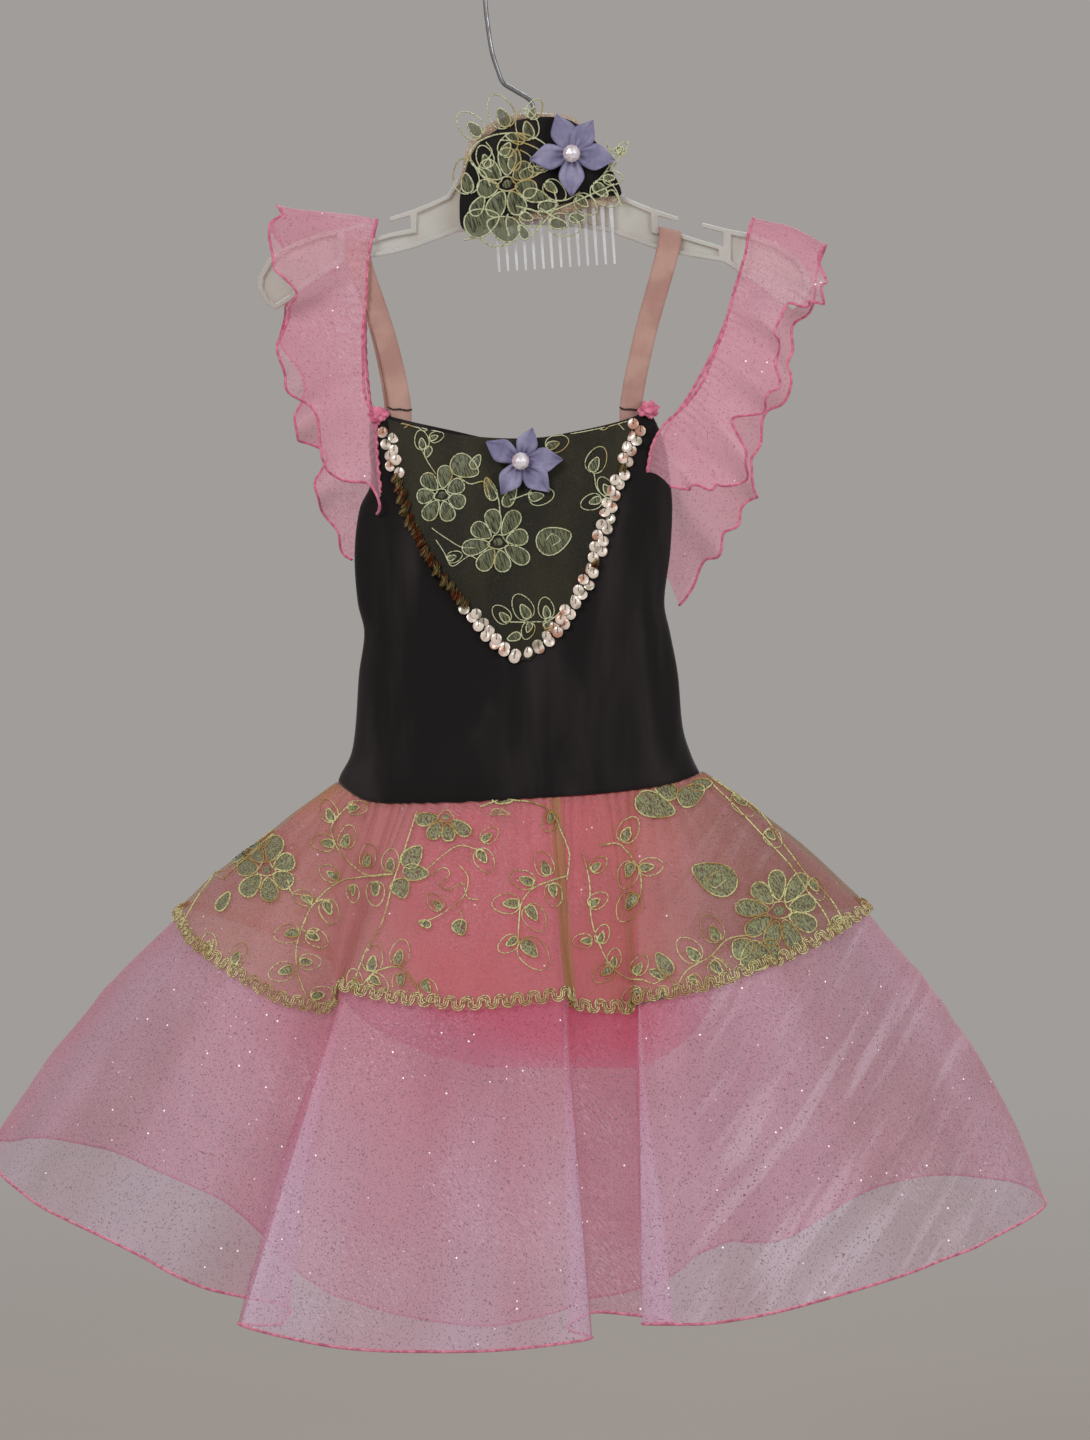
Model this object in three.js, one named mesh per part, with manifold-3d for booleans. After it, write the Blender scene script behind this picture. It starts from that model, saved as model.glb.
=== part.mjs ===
// A child's stage dance costume on its shop hanger, with its matching hair comb.
// Units are millimetres and +Z is up. The front faces -Y, and the origin is inside the top of the hook.
// Places on the flat front are given as x and as the distance down from the origin.
import * as THREE from 'three';
import { mergeVertices } from 'three/addons/utils/BufferGeometryUtils.js';
import Module from 'manifold-3d';

const wasm = await Module();
wasm.setup();

// Driving dimensions
const SEAM = 0.4; // gap left between sewn pieces
const LAY = 0.3; // gap under a piece that lies on another
const VELVET = 1.2;
const ORGANZA = 1.0;
const NET = 1.0;
const ELASTIC = { width: 12.7, thickness: 1.2 };
const WIRE = 2.6;
const HANGER = { rim: 7, web: 2, neckTop: 101, neckFoot: 128, neckHalf: 5.5 };
const HOOK = { radius: 28, centreDown: 26.7, stemFoot: 124 };
const WAIST = { left: -113, right: 97, front: 33, back: 30 };
const BODICE = { columns: 22, rows: 9, seam: 3, backDrop: 5 };
const SKIRT = { perRib: 3, rows: 8, gather: 1.2 };
const PEPLUM = { rows: 4, clearance: 1.7, spread: 4 };
const BRAID = { width: 6.5, thickness: 1.2 };
const PEARL = 10.4;
const COMB = { teeth: 14, pitch: 5.1, length: 34, root: 2.4, tip: 1.3, spine: 7, thickness: 2.2, tilt: 0.07 };

const LOOKS = {
  steel: { color: 0x8c9096, roughness: 0.3, metalness: 1 },
  hanger: { color: 0xcdc8c0, roughness: 0.35, metalness: 0 },
  elastic: { color: 0xc8a08c, roughness: 0.8, metalness: 0 },
  velvet: { color: 0x1c1818, roughness: 0.95, metalness: 0 },
  insert: { color: 0x4a4632, roughness: 0.8, metalness: 0 },
  organza: { color: 0xd68ca5, roughness: 0.6, metalness: 0 },
  brief: { color: 0xe0708a, roughness: 0.7, metalness: 0 },
  goldNet: { color: 0xb39a70, roughness: 0.6, metalness: 0 },
  braid: { color: 0xbeaa6e, roughness: 0.45, metalness: 0.3 },
  lace: { color: 0x98a066, roughness: 0.6, metalness: 0.1 },
  lavender: { color: 0x827daf, roughness: 0.7, metalness: 0 },
  pearl: { color: 0xe1d7dc, roughness: 0.2, metalness: 0 },
  clearPlastic: { color: 0xe4e6ea, roughness: 0.15, metalness: 0 },
};

const costume = new THREE.Group();
const materials = {};

function addPiece(name, geometry, look) {
  materials[look] ??= new THREE.MeshStandardMaterial(LOOKS[look]);
  const mesh = new THREE.Mesh(geometry, materials[look]);
  mesh.name = name;
  costume.add(mesh);
}

// Tables, curves and grids

function table(columns, rows) {
  return rows.map((row) => Object.fromEntries(columns.map((column, i) => [column, row[i]])));
}

// A smooth function through the table's values of `to` at its values of `at`, which rise.
function through(rows, at, to) {
  const last = rows.length - 1;
  const slope = (k) => {
    const before = rows[Math.max(0, k - 1)];
    const after = rows[Math.min(last, k + 1)];
    return (after[to] - before[to]) / (after[at] - before[at]);
  };
  return (value) => {
    if (value <= rows[0][at]) return rows[0][to];
    if (value >= rows[last][at]) return rows[last][to];
    let k = 0;
    while (rows[k + 1][at] < value) k += 1;
    const span = rows[k + 1][at] - rows[k][at];
    const t = (value - rows[k][at]) / span;
    const rise = t * t * (3 - 2 * t);
    const start = slope(k) * span * t * (1 - t) ** 2;
    const end = slope(k + 1) * span * t * t * (1 - t);
    return rows[k][to] + (rows[k + 1][to] - rows[k][to]) * rise + start - end;
  };
}

// Height of soft ridges (or troughs, where the height is negative) that run from one point to another.
function ridges(folds, x, down) {
  let height = 0;
  for (const fold of folds) {
    const dx = fold.x1 - fold.x0;
    const dd = fold.down1 - fold.down0;
    const t = ((x - fold.x0) * dx + (down - fold.down0) * dd) / (dx * dx + dd * dd);
    const along = THREE.MathUtils.clamp(t, 0, 1);
    const away = Math.hypot(x - fold.x0 - along * dx, down - fold.down0 - along * dd);
    const fade = THREE.MathUtils.smoothstep(1.3 - Math.abs(2 * t - 1), 0, 0.7);
    height += fold.height * fade * Math.exp(-((away / fold.width) ** 2));
  }
  return height;
}

function gridNormals(grid, closed) {
  const rows = grid.length;
  const columns = grid[0].length;
  const across = (i, j) => {
    const before = closed ? (j + columns - 1) % columns : Math.max(0, j - 1);
    const after = closed ? (j + 1) % columns : Math.min(columns - 1, j + 1);
    return grid[i][after].clone().sub(grid[i][before]);
  };
  const along = (i, j) => grid[Math.min(rows - 1, i + 1)][j].clone().sub(grid[Math.max(0, i - 1)][j]);
  return grid.map((row, i) => row.map((_, j) => along(i, j).cross(across(i, j)).normalize()));
}

// A cloth wall around a grid of middle points, closed along its four edges.
function wall(grid, normals, thickness) {
  const rows = grid.length;
  const columns = grid[0].length;
  const positions = [];
  for (const side of [0.5, -0.5]) {
    grid.forEach((row, i) => row.forEach((point, j) => {
      positions.push(...point.clone().addScaledVector(normals[i][j], side * thickness).toArray());
    }));
  }
  const triangles = [];
  const quad = (a, b, c, d) => triangles.push(a, b, c, a, c, d);
  const outer = (i, j) => i * columns + j;
  const inner = (i, j) => rows * columns + i * columns + j;
  for (let i = 0; i < rows - 1; i += 1) {
    for (let j = 0; j < columns - 1; j += 1) {
      quad(outer(i, j), outer(i, j + 1), outer(i + 1, j + 1), outer(i + 1, j));
      quad(inner(i, j), inner(i + 1, j), inner(i + 1, j + 1), inner(i, j + 1));
    }
    quad(outer(i, 0), outer(i + 1, 0), inner(i + 1, 0), inner(i, 0));
    const end = columns - 1;
    quad(outer(i + 1, end), outer(i, end), inner(i, end), inner(i + 1, end));
  }
  for (let j = 0; j < columns - 1; j += 1) {
    const foot = rows - 1;
    quad(outer(0, j + 1), outer(0, j), inner(0, j), inner(0, j + 1));
    quad(outer(foot, j), outer(foot, j + 1), inner(foot, j + 1), inner(foot, j));
  }
  return facingOut(positions, triangles);
}

function facingOut(positions, triangles) {
  const corner = (k) => new THREE.Vector3().fromArray(positions, 3 * triangles[k]);
  let volume = 0;
  for (let k = 0; k < triangles.length; k += 3) volume += corner(k).dot(corner(k + 1).cross(corner(k + 2)));
  if (volume < 0) triangles.reverse();
  const geometry = new THREE.BufferGeometry();
  geometry.setAttribute('position', new THREE.Float32BufferAttribute(positions, 3));
  geometry.setIndex(triangles);
  return geometry;
}

// The columns from one seam to the next of a ring of points, pulled in at both seams.
function panel(grid, normals, from, to) {
  const columns = grid[0].length;
  const picked = Array.from({ length: to - from + 1 }, (_, k) => (from + k) % columns);
  const last = picked.length - 1;
  const points = grid.map((row) => {
    const cut = picked.map((j) => row[j].clone());
    const pull = (end, next) => cut[end].add(cut[next].clone().sub(cut[end]).setLength(SEAM / 2));
    pull(0, 1);
    pull(last, last - 1);
    return cut;
  });
  return { points, normals: normals.map((row) => picked.map((j) => row[j].clone())) };
}

// Solids that are joined or cut

function toSolid(geometry) {
  const plain = new THREE.BufferGeometry();
  plain.setAttribute('position', geometry.getAttribute('position').clone());
  if (geometry.index) plain.setIndex(geometry.index.clone());
  const merged = mergeVertices(plain, 1e-4);
  return new wasm.Manifold(new wasm.Mesh({
    numProp: 3,
    vertProperties: new Float32Array(merged.getAttribute('position').array),
    triVerts: new Uint32Array(merged.index.array),
  }));
}

function fromSolid(solid) {
  const mesh = solid.getMesh();
  const geometry = new THREE.BufferGeometry();
  geometry.setAttribute('position', new THREE.Float32BufferAttribute(mesh.vertProperties, 3));
  geometry.setIndex(new THREE.BufferAttribute(mesh.triVerts, 1));
  return geometry;
}

const join = (geometries) => fromSolid(geometries.map(toSolid).reduce((all, next) => all.add(next)));
const cut = (geometry, tools) => {
  const left = tools.map(toSolid).reduce((rest, tool) => rest.subtract(tool), toSolid(geometry));
  return fromSolid(left);
};

// A flat plate from an outline of [x, down] points, between two depths.
function plate(outline, front, back, hole) {
  const shape = new THREE.Shape(outline.map(([x, down]) => new THREE.Vector2(x, -down)));
  if (hole) shape.holes.push(new THREE.Path(hole.map(([x, down]) => new THREE.Vector2(x, -down))));
  const geometry = new THREE.ExtrudeGeometry(shape, { depth: back - front, bevelEnabled: false });
  geometry.rotateX(Math.PI / 2);
  geometry.translate(0, back, 0);
  return geometry;
}

function oval(x, down, halfLength, halfWidth, turn, sides = 12) {
  return Array.from({ length: sides }, (_, k) => {
    const angle = (2 * Math.PI * k) / sides;
    const along = halfLength * Math.cos(angle);
    const side = halfWidth * Math.sin(angle);
    return [
      x + along * Math.cos(turn) - side * Math.sin(turn),
      down - along * Math.sin(turn) - side * Math.cos(turn),
    ];
  });
}

// Hook and hanger

function hookGeometry() {
  const bend = [
    [0, HOOK.stemFoot], [0, 112], [0, 101], [-1.7, 94.5], [-10, 89],
    [-17.6, 84], [-20.6, 77], [-23.8, 67], [-26, 54], [-27.6, 40],
  ];
  const points = bend.map(([x, down]) => new THREE.Vector3(x, 0, -down));
  const arcStart = Math.PI;
  const arcEnd = -0.35;
  const arcSteps = 12;
  for (let k = 0; k <= arcSteps; k += 1) {
    const angle = arcStart + ((arcEnd - arcStart) * k) / arcSteps;
    const z = HOOK.radius * Math.sin(angle) - HOOK.centreDown;
    points.push(new THREE.Vector3(HOOK.radius * Math.cos(angle), 0, z));
  }
  const section = new THREE.Shape();
  section.absarc(0, 0, WIRE / 2, 0, 2 * Math.PI);
  const extrudePath = new THREE.CatmullRomCurve3(points, false, 'centripetal');
  return new THREE.ExtrudeGeometry(section, { steps: 38, curveSegments: 4, bevelEnabled: false, extrudePath });
}

const HANGER_TOP = [[0, 101], [14, 102], [24, 106], [34, 119], [42, 136], [50, 148], [60, 152.5], [69, 156]];
const HANGER_INNER_NOTCH = [[83, 160.6], [82.5, 163], [71, 159.8], [70.5, 167], [82, 169.4], [108.5, 177.3]];
const HANGER_OUTER_NOTCH = [[108.5, 169.2], [96, 166], [96.4, 163.6], [110, 167], [122, 169.4]];
const HANGER_END = [
  [140, 176], [152, 184], [158, 194], [159, 200.7], [154, 210], [148.5, 213.4], [140, 208], [131, 200.7],
];
const HANGER_FOOT = [[118, 192], [109, 186], [82, 181.5], [68.4, 178], [44, 169], [21, 166], [0, 164.7]];
const POCKET_TOP = [
  [HANGER.neckHalf, HANGER.neckFoot], [HANGER.neckHalf, 104.5], [13, 104.7], [22, 108],
  [31.5, 120.5], [39.5, 137.5], [48.5, 150], [59, 155], [67, 158.3],
];
const POCKET_FOOT = [
  [67.5, 169.5], [82, 172], [106, 179], [106, 182.8], [82, 179], [68.6, 175.4], [44, 166.4], [21, 163.3], [0, 162.2],
];
const END_POCKET = [
  [113, 170.6], [122, 172.3], [139, 178.6], [150, 186], [155.2, 195], [155.8, 200.3],
  [152, 207.6], [148.3, 209.8], [141, 205.2], [132, 198], [119, 189.3], [113, 185.2],
];
const mirrored = (outline) => outline.map(([x, down]) => [-x, down]).reverse();

function hangerGeometry() {
  const half = [...HANGER_TOP, ...HANGER_INNER_NOTCH, ...HANGER_OUTER_NOTCH, ...HANGER_END, ...HANGER_FOOT];
  const body = plate([...half, ...mirrored(half).slice(1, -1)], -HANGER.rim / 2, HANGER.rim / 2);
  const pocket = [...POCKET_TOP, ...POCKET_FOOT];
  const pockets = [[...pocket, ...mirrored(pocket).slice(1)], END_POCKET, mirrored(END_POCKET)];
  const tools = pockets.flatMap((outline) => [
    plate(outline, -HANGER.rim, -HANGER.web / 2),
    plate(outline, HANGER.web / 2, HANGER.rim),
  ]);
  const boreRadius = WIRE / 2 + LAY;
  const boreFoot = HOOK.stemFoot + LAY;
  const boreTop = HANGER.neckTop - 6;
  const bore = new THREE.CylinderGeometry(boreRadius, boreRadius, boreFoot - boreTop, 12);
  bore.rotateX(Math.PI / 2);
  bore.translate(0, 0, -(boreTop + boreFoot) / 2);
  return cut(body, [...tools, bore]);
}

addPiece('hook', hookGeometry(), 'steel');
addPiece('hanger', hangerGeometry(), 'hanger');

// Bodice: a ring of points at each level, from the outline seen from the front and the depth of each side

const BODICE_LEVELS = table(['down', 'left', 'right', 'front', 'back'], [
  [262, -92, 62, 13, 13],
  [272, -93.4, 67, 14, 13],
  [290, -94.5, 74.8, 16, 14],
  [314, -94, 78.5, 19, 15],
  [327, -100, 79.5, 20, 16],
  [353, -103.2, 78.3, 22, 18],
  [382, -101.5, 75, 23, 19],
  [399, -97.8, 78.3, 24, 20],
  [423, -100.9, 82.9, 25, 21],
  [455, -103.2, 86, 28, 25],
  [471, -106, 91, 30.5, 27.5],
  [485, WAIST.left, WAIST.right, WAIST.front, WAIST.back],
  [500, WAIST.left, WAIST.right, WAIST.front, WAIST.back],
]);
const NECKLINE = table(['x', 'down'], [
  [-94, 270.5], [-78, 275.5], [-44, 283], [-28, 286.5], [-10, 288], [20, 283.6], [53, 276], [67, 269],
]);
const WAISTLINE = table(['x', 'down'], [
  [-113, 488], [-97, 496], [-65, 496.5], [0, 493], [46, 490], [78, 486.5], [97, 482],
]);
const BODICE_FOLDS = table(['x0', 'down0', 'x1', 'down1', 'width', 'height'], [
  [-12, 420, -46, 492, 9, 2.6],
  [-6, 424, 2, 492, 7, 2.0],
  [8, 410, 44, 488, 10, 2.4],
  [-70, 350, -78, 486, 9, 2.2],
  [70, 300, 44, 400, 8, 2.6],
  [62, 390, 70, 484, 8, 2.0],
  [-88, 300, -80, 400, 6, 1.6],
  [-30, 290, -34, 380, 12, 1.2],
]);

const leftAt = through(BODICE_LEVELS, 'down', 'left');
const rightAt = through(BODICE_LEVELS, 'down', 'right');
const frontAt = through(BODICE_LEVELS, 'down', 'front');
const backAt = through(BODICE_LEVELS, 'down', 'back');
const necklineAt = through(NECKLINE, 'x', 'down');
const waistlineAt = through(WAISTLINE, 'x', 'down');

// How full the ring stands at a share of its half width, 1 in the middle and 0 at the sides.
const fullness = (share) => Math.max(0, 1 - Math.abs(share) ** 2.4) ** 0.6;

function bodiceDepth(x, down, side) {
  const middle = (leftAt(down) + rightAt(down)) / 2;
  const half = (rightAt(down) - leftAt(down)) / 2;
  const full = fullness((x - middle) / half);
  const folds = ridges(BODICE_FOLDS, side < 0 ? x : -16 - x, down) * Math.min(1, 2 * full);
  return side * ((side < 0 ? frontAt(down) : backAt(down)) * full + folds);
}

function bodiceRing() {
  const { columns, rows, backDrop } = BODICE;
  return Array.from({ length: rows + 1 }, (_, i) => Array.from({ length: 2 * columns }, (_, j) => {
    const angle = (Math.PI * j) / columns;
    const side = j > 0 && j < columns ? -1 : 1;
    const place = (down) => {
      const middle = (leftAt(down) + rightAt(down)) / 2;
      return middle - ((rightAt(down) - leftAt(down)) / 2) * Math.cos(angle);
    };
    const drop = backDrop * Math.max(0, -Math.sin(angle));
    const top = necklineAt(place(necklineAt(place(280)))) + drop;
    const foot = waistlineAt(place(490)) - 2 * SEAM;
    const down = top + ((foot - top) * i) / rows;
    const x = place(down);
    return new THREE.Vector3(x, bodiceDepth(x, down, side), -down);
  }));
}

// A point that lies a distance out from the bodice front at x and down, with the way out.
function onBodice(x, down, out) {
  const step = 1;
  const slopeX = bodiceDepth(x + step, down, -1) - bodiceDepth(x - step, down, -1);
  const slopeDown = bodiceDepth(x, down + step, -1) - bodiceDepth(x, down - step, -1);
  const normal = new THREE.Vector3(slopeX, -2 * step, -slopeDown).normalize();
  const point = new THREE.Vector3(x, bodiceDepth(x, down, -1), -down).addScaledVector(normal, out);
  return { point, normal };
}

const ring = bodiceRing();
const ringNormals = gridNormals(ring, true);
const bodiceSeams = [BODICE.seam, BODICE.columns - BODICE.seam, 2 * BODICE.columns + BODICE.seam];
const bodiceFront = panel(ring, ringNormals, bodiceSeams[0], bodiceSeams[1]);
const bodiceBack = panel(ring, ringNormals, bodiceSeams[1], bodiceSeams[2]);
addPiece('bodice_front', wall(bodiceFront.points, bodiceFront.normals, VELVET), 'velvet');
addPiece('bodice_back', wall(bodiceBack.points, bodiceBack.normals, VELVET), 'velvet');

// V insert of gold net, laid on the bodice front

const INSERT_LEVELS = table(['down', 'left', 'right'], [
  [276, -83, 58],
  [292, -81.5, 54.5],
  [308, -78.5, 49],
  [326, -74.5, 42.5],
  [345, -66.3, 38.3],
  [366, -53.5, 31],
  [386, -37.5, 20],
  [401, -25, 9],
  [413.5, -11, -2],
]);
const INSERT = { columns: 12, sag: 11, thickness: 1.0, clearance: 1.0 };
const insertOut = VELVET / 2 + INSERT.clearance + INSERT.thickness / 2;

const insertPlaces = INSERT_LEVELS.map((level, i) => Array.from({ length: INSERT.columns + 1 }, (_, j) => {
  const share = j / INSERT.columns;
  const x = level.left + (level.right - level.left) * share;
  const sag = INSERT.sag * 4 * share * (1 - share) * (1 - i / (INSERT_LEVELS.length - 1)) ** 2;
  return onBodice(x, level.down + sag, insertOut);
}));
const insertPoints = insertPlaces.map((row) => row.map((place) => place.point));
const insertNormals = insertPlaces.map((row) => row.map((place) => place.normal));
addPiece('plastron', wall(insertPoints, insertNormals, INSERT.thickness), 'insert');

// Straps: flat elastic over the hanger, lapped inside the bodice front and back

// slope is how far the hanger's top edge falls for each millimetre of x under the strap.
function strapGeometry({ topX, topDown, slope, frontX, frontY, backX, backY }) {
  const off = ELASTIC.thickness / 2 + LAY;
  const face = HANGER.rim / 2 + off;
  const bend = off * (1 - Math.SQRT1_2);
  const route = table(['x', 'y', 'down', 'slope'], [
    [frontX, frontY, 284, 0],
    [frontX, frontY, 268, 0],
    [(2 * frontX + topX) / 3, -face, 230, 0],
    [topX, -face, topDown + 6, slope],
    [topX, -face, topDown, slope],
    [topX, -face + bend, topDown - off + bend, slope],
    [topX, -face + off, topDown - off, slope],
    [topX, face - off, topDown - off, slope],
    [topX, face - bend, topDown - off + bend, slope],
    [topX, face, topDown, slope],
    [topX, face, topDown + 6, slope],
    [(2 * backX + topX) / 3, face, 230, 0],
    [backX, backY, 268, 0],
    [backX, backY, 284, 0],
  ]);
  const grid = route.map((row) => [-0.5, 0, 0.5].map((share) => {
    const across = share * ELASTIC.width;
    return new THREE.Vector3(row.x + across, row.y, -row.down - row.slope * across);
  }));
  return wall(grid, gridNormals(grid, false), ELASTIC.thickness);
}

const STRAPS = table(['name', 'topX', 'topDown', 'slope', 'frontX', 'frontY', 'backX', 'backY'], [
  ['strap_left', -101, 175, -0.3, -77, -4.3, -80, 3.2],
  ['strap_right', 77.9, 168.5, 0.22, 56, -2.2, 56, 2.2],
]);
STRAPS.forEach((strap) => addPiece(strap.name, strapGeometry(strap), 'elastic'));

// Sleeve ruffles: a gathered inner edge and a waving outer edge, from the front over the hanger to the back

const RUFFLE_COLUMNS = ['innerX', 'innerY', 'innerDown', 'outerX', 'outerY', 'outerDown'];
const RUFFLE_LEFT = table(RUFFLE_COLUMNS, [
  [-88, -10.0, 318, -90, -15, 330],
  [-90, -8.0, 296, -98, -21, 311],
  [-91, -6.4, 278, -118, -27, 306],
  [-97, -7, 262, -124, -18, 276],
  [-98, -8, 245, -143, -26, 252],
  [-98, -8, 225, -144, -16, 226],
  [-96, -8, 205, -136, -24, 207],
  [-95, -8, 186, -150, -18, 186],
  [-92, -7, 170, -148, -13, 164],
  [-90, 0, 162.2, -144, -2, 156],
  [-92, 7, 170, -149, 14, 168],
  [-96, 8, 192, -138, 24, 196],
  [-97, 8, 216, -146, 16, 228],
  [-97, 8, 240, -134, 26, 262],
  [-95, 6, 262, -138, 17, 286],
  [-92, 4.8, 284, -121, 25, 300],
  [-90, 7.0, 306, -127, 19, 322],
  [-91, 8.4, 326, -114, 24, 345],
  [-95, 9.4, 344, -106, 17, 359],
]);
const RUFFLE_RIGHT = table(RUFFLE_COLUMNS, [
  [65, -11.6, 306, 78, -18, 314],
  [68, -9.4, 291, 93, -24, 315],
  [75, -6.8, 279, 108, -18, 315],
  [87, -8, 268, 123, -28, 303],
  [96, -9, 256, 115, -18, 278],
  [103, -9, 240, 134, -27, 266],
  [109, -9, 224, 140, -16, 246],
  [113, -8, 209, 134, -25, 226],
  [117, -8, 195, 150, -17, 212],
  [121, -7, 182, 164, -21, 208],
  [123, -5, 170, 165, -10, 188],
  [126, 2, 161, 166, 2, 174],
  [124, 8, 172, 164, 14, 200],
  [119, 9, 192, 150, 24, 228],
  [112, 9, 216, 150, 16, 252],
  [102, 9, 240, 136, 26, 276],
  [90, 8, 262, 128, 16, 304],
  [76, 6, 284, 128, 26, 322],
  [72, 7.8, 306, 112, 18, 344],
  [72, 9.2, 332, 98, 26, 366],
  [74, 8.6, 362, 84, 18, 384],
]);
const RUFFLE = { perRow: 2, columns: 5, belly: 2, flutter: 2.4 };

function ruffleGeometry(sections) {
  const edge = (side) => new THREE.CatmullRomCurve3(
    sections.map((row) => new THREE.Vector3(row[`${side}X`], row[`${side}Y`], -row[`${side}Down`])),
  );
  const inner = edge('inner');
  const outer = edge('outer');
  const steps = (sections.length - 1) * RUFFLE.perRow;
  const across = Array.from({ length: RUFFLE.columns + 1 }, (_, j) => j / RUFFLE.columns);
  const flat = Array.from({ length: steps + 1 }, (_, i) => (
    across.map((share) => inner.getPoint(i / steps).lerp(outer.getPoint(i / steps), share))
  ));
  const out = gridNormals(flat, false);
  const grid = flat.map((row, i) => row.map((point, j) => {
    const belly = RUFFLE.belly * Math.sin(Math.PI * across[j]);
    const flutter = RUFFLE.flutter * across[j] ** 2 * (i % 2 ? 1 : -1);
    return point.clone().addScaledVector(out[i][j], flutter).add(new THREE.Vector3(0, 0, belly));
  }));
  return wall(grid, gridNormals(grid, false), ORGANZA);
}

addPiece('sleeve_ruffle_left', ruffleGeometry(RUFFLE_LEFT), 'organza');
addPiece('sleeve_ruffle_right', ruffleGeometry(RUFFLE_RIGHT), 'organza');

// Skirt: ribs from the waist seam to the hem, in order round the ring from the left side over the front.
// A fold is where a rib's hem lies back past its neighbour's. lift bows a rib outwards and up, and reach is
// the share of the rib that the peplum covers.

const SKIRT_RIBS = table(['side', 'waistX', 'hemX', 'hemY', 'hemDown', 'lift', 'reach'], [
  [0, -113, -321, 12, 702, 30, 0.400],
  [-1, -112, -308, -28, 711, 30, 0.410],
  [-1, -110, -285, -62, 721, 30, 0.425],
  [-1, -106, -229, -98, 740, 28, 0.445],
  [-1, -98, -187, -105, 760, 24, 0.450],
  [-1, -88, -140, -88, 776, 18, 0.440],
  [-1, -77, -143, -112, 780, 18, 0.410],
  [-1, -66, -162, -138, 774, 18, 0.385],
  [-1, -50, -112, -155, 782, 18, 0.395],
  [-1, -28, -57, -160, 784, 18, 0.405],
  [-1, -8, -7, -152, 784, 18, 0.400],
  [-1, 5, 32, -130, 783, 18, 0.395],
  [-1, 14, 19, -106, 784, 16, 0.410],
  [-1, 23, 34, -88, 779, 14, 0.435],
  [-1, 36, 78, -80, 786, 16, 0.430],
  [-1, 48, 70, -90, 784, 18, 0.425],
  [-1, 58, 61, -102, 782, 20, 0.420],
  [-1, 69, 104, -116, 778, 24, 0.415],
  [-1, 80, 170, -104, 766, 32, 0.405],
  [-1, 89, 233, -72, 752, 42, 0.395],
  [-1, 95, 272, -38, 743, 50, 0.385],
  [0, 97, 301, 0, 732, 52, 0.380],
  [1, 94, 263, 45, 727, 40, 0.390],
  [1, 84, 208, 72, 738, 30, 0.400],
  [1, 70, 149, 58, 768, 20, 0.400],
  [1, 54, 112, 86, 777, 20, 0.400],
  [1, 38, 73, 64, 796, 16, 0.400],
  [1, 20, 33, 88, 812, 18, 0.395],
  [1, 0, -18, 64, 822, 14, 0.385],
  [1, -18, -57, 82, 824, 18, 0.390],
  [1, -38, -93, 62, 812, 16, 0.400],
  [1, -58, -136, 86, 800, 20, 0.405],
  [1, -77, -180, 66, 752, 22, 0.410],
  [1, -93, -235, 84, 728, 28, 0.410],
  [1, -105, -279, 58, 708, 30, 0.405],
  [1, -111, -310, 38, 703, 30, 0.400],
]);
const skirtColumns = SKIRT_RIBS.length * SKIRT.perRib;
const rightSeam = SKIRT_RIBS.findIndex((rib, i) => i > 0 && rib.side === 0) * SKIRT.perRib;

function ribPoint(rib, v) {
  const middle = (WAIST.left + WAIST.right) / 2;
  const half = (WAIST.right - WAIST.left) / 2;
  const depth = rib.side < 0 ? WAIST.front : WAIST.back;
  const y = rib.side * depth * fullness((rib.waistX - middle) / half);
  const waist = new THREE.Vector3(rib.waistX, y, -waistlineAt(rib.waistX));
  const hem = new THREE.Vector3(rib.hemX, rib.hemY, -rib.hemDown);
  const outwards = hem.clone().sub(waist).setZ(0).normalize();
  const control = waist.clone().add(hem).multiplyScalar(0.5);
  control.addScaledVector(outwards, rib.lift * 0.8).add(new THREE.Vector3(0, 0, rib.lift * 0.6));
  return new THREE.QuadraticBezierCurve3(waist, control, hem).getPoint(v);
}

const skirtLevels = new Map();
function skirtPoint(t, v) {
  if (!skirtLevels.has(v)) {
    const points = SKIRT_RIBS.map((rib) => ribPoint(rib, v));
    skirtLevels.set(v, new THREE.CatmullRomCurve3(points, true, 'centripetal'));
  }
  return skirtLevels.get(v).getPoint(((t % 1) + 1) % 1);
}

// A place on the skirt at column j and share v down its ribs, a distance out along the way out.
function onSkirt(j, v, out) {
  const t = j / skirtColumns;
  const stepT = 0.4 / skirtColumns;
  const stepV = 0.01;
  const across = skirtPoint(t + stepT, v).sub(skirtPoint(t - stepT, v));
  const along = skirtPoint(t, v + stepV).sub(skirtPoint(t, Math.max(0, v - stepV)));
  const normal = along.cross(across).normalize();
  const gather = SKIRT.gather * (j % 2) * Math.max(0, 1 - v) ** 4;
  return { point: skirtPoint(t, v).addScaledVector(normal, out + gather), normal };
}

const reachAt = (j) => {
  const rib = Math.floor(j / SKIRT.perRib) % SKIRT_RIBS.length;
  const next = SKIRT_RIBS[(rib + 1) % SKIRT_RIBS.length];
  return THREE.MathUtils.lerp(SKIRT_RIBS[rib].reach, next.reach, (j / SKIRT.perRib) % 1);
};
const ribLengthAt = (j) => skirtPoint(j / skirtColumns, 0).distanceTo(skirtPoint(j / skirtColumns, 1));

// A band round the skirt between two shares of its ribs, as a front panel and a back panel.
function addBand(names, rows, from, to, out, thickness, look) {
  const places = Array.from({ length: rows + 1 }, (_, i) => Array.from({ length: skirtColumns }, (_, j) => {
    const v = from(j) + ((to(j) - from(j)) * i) / rows;
    return onSkirt(j, v, out(v));
  }));
  const points = places.map((row) => row.map((place) => place.point));
  const normals = places.map((row) => row.map((place) => place.normal));
  const seams = [0, rightSeam, skirtColumns];
  names.forEach((name, k) => {
    const part = panel(points, normals, seams[k], seams[k + 1]);
    addPiece(name, wall(part.points, part.normals, thickness), look);
  });
}

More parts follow.
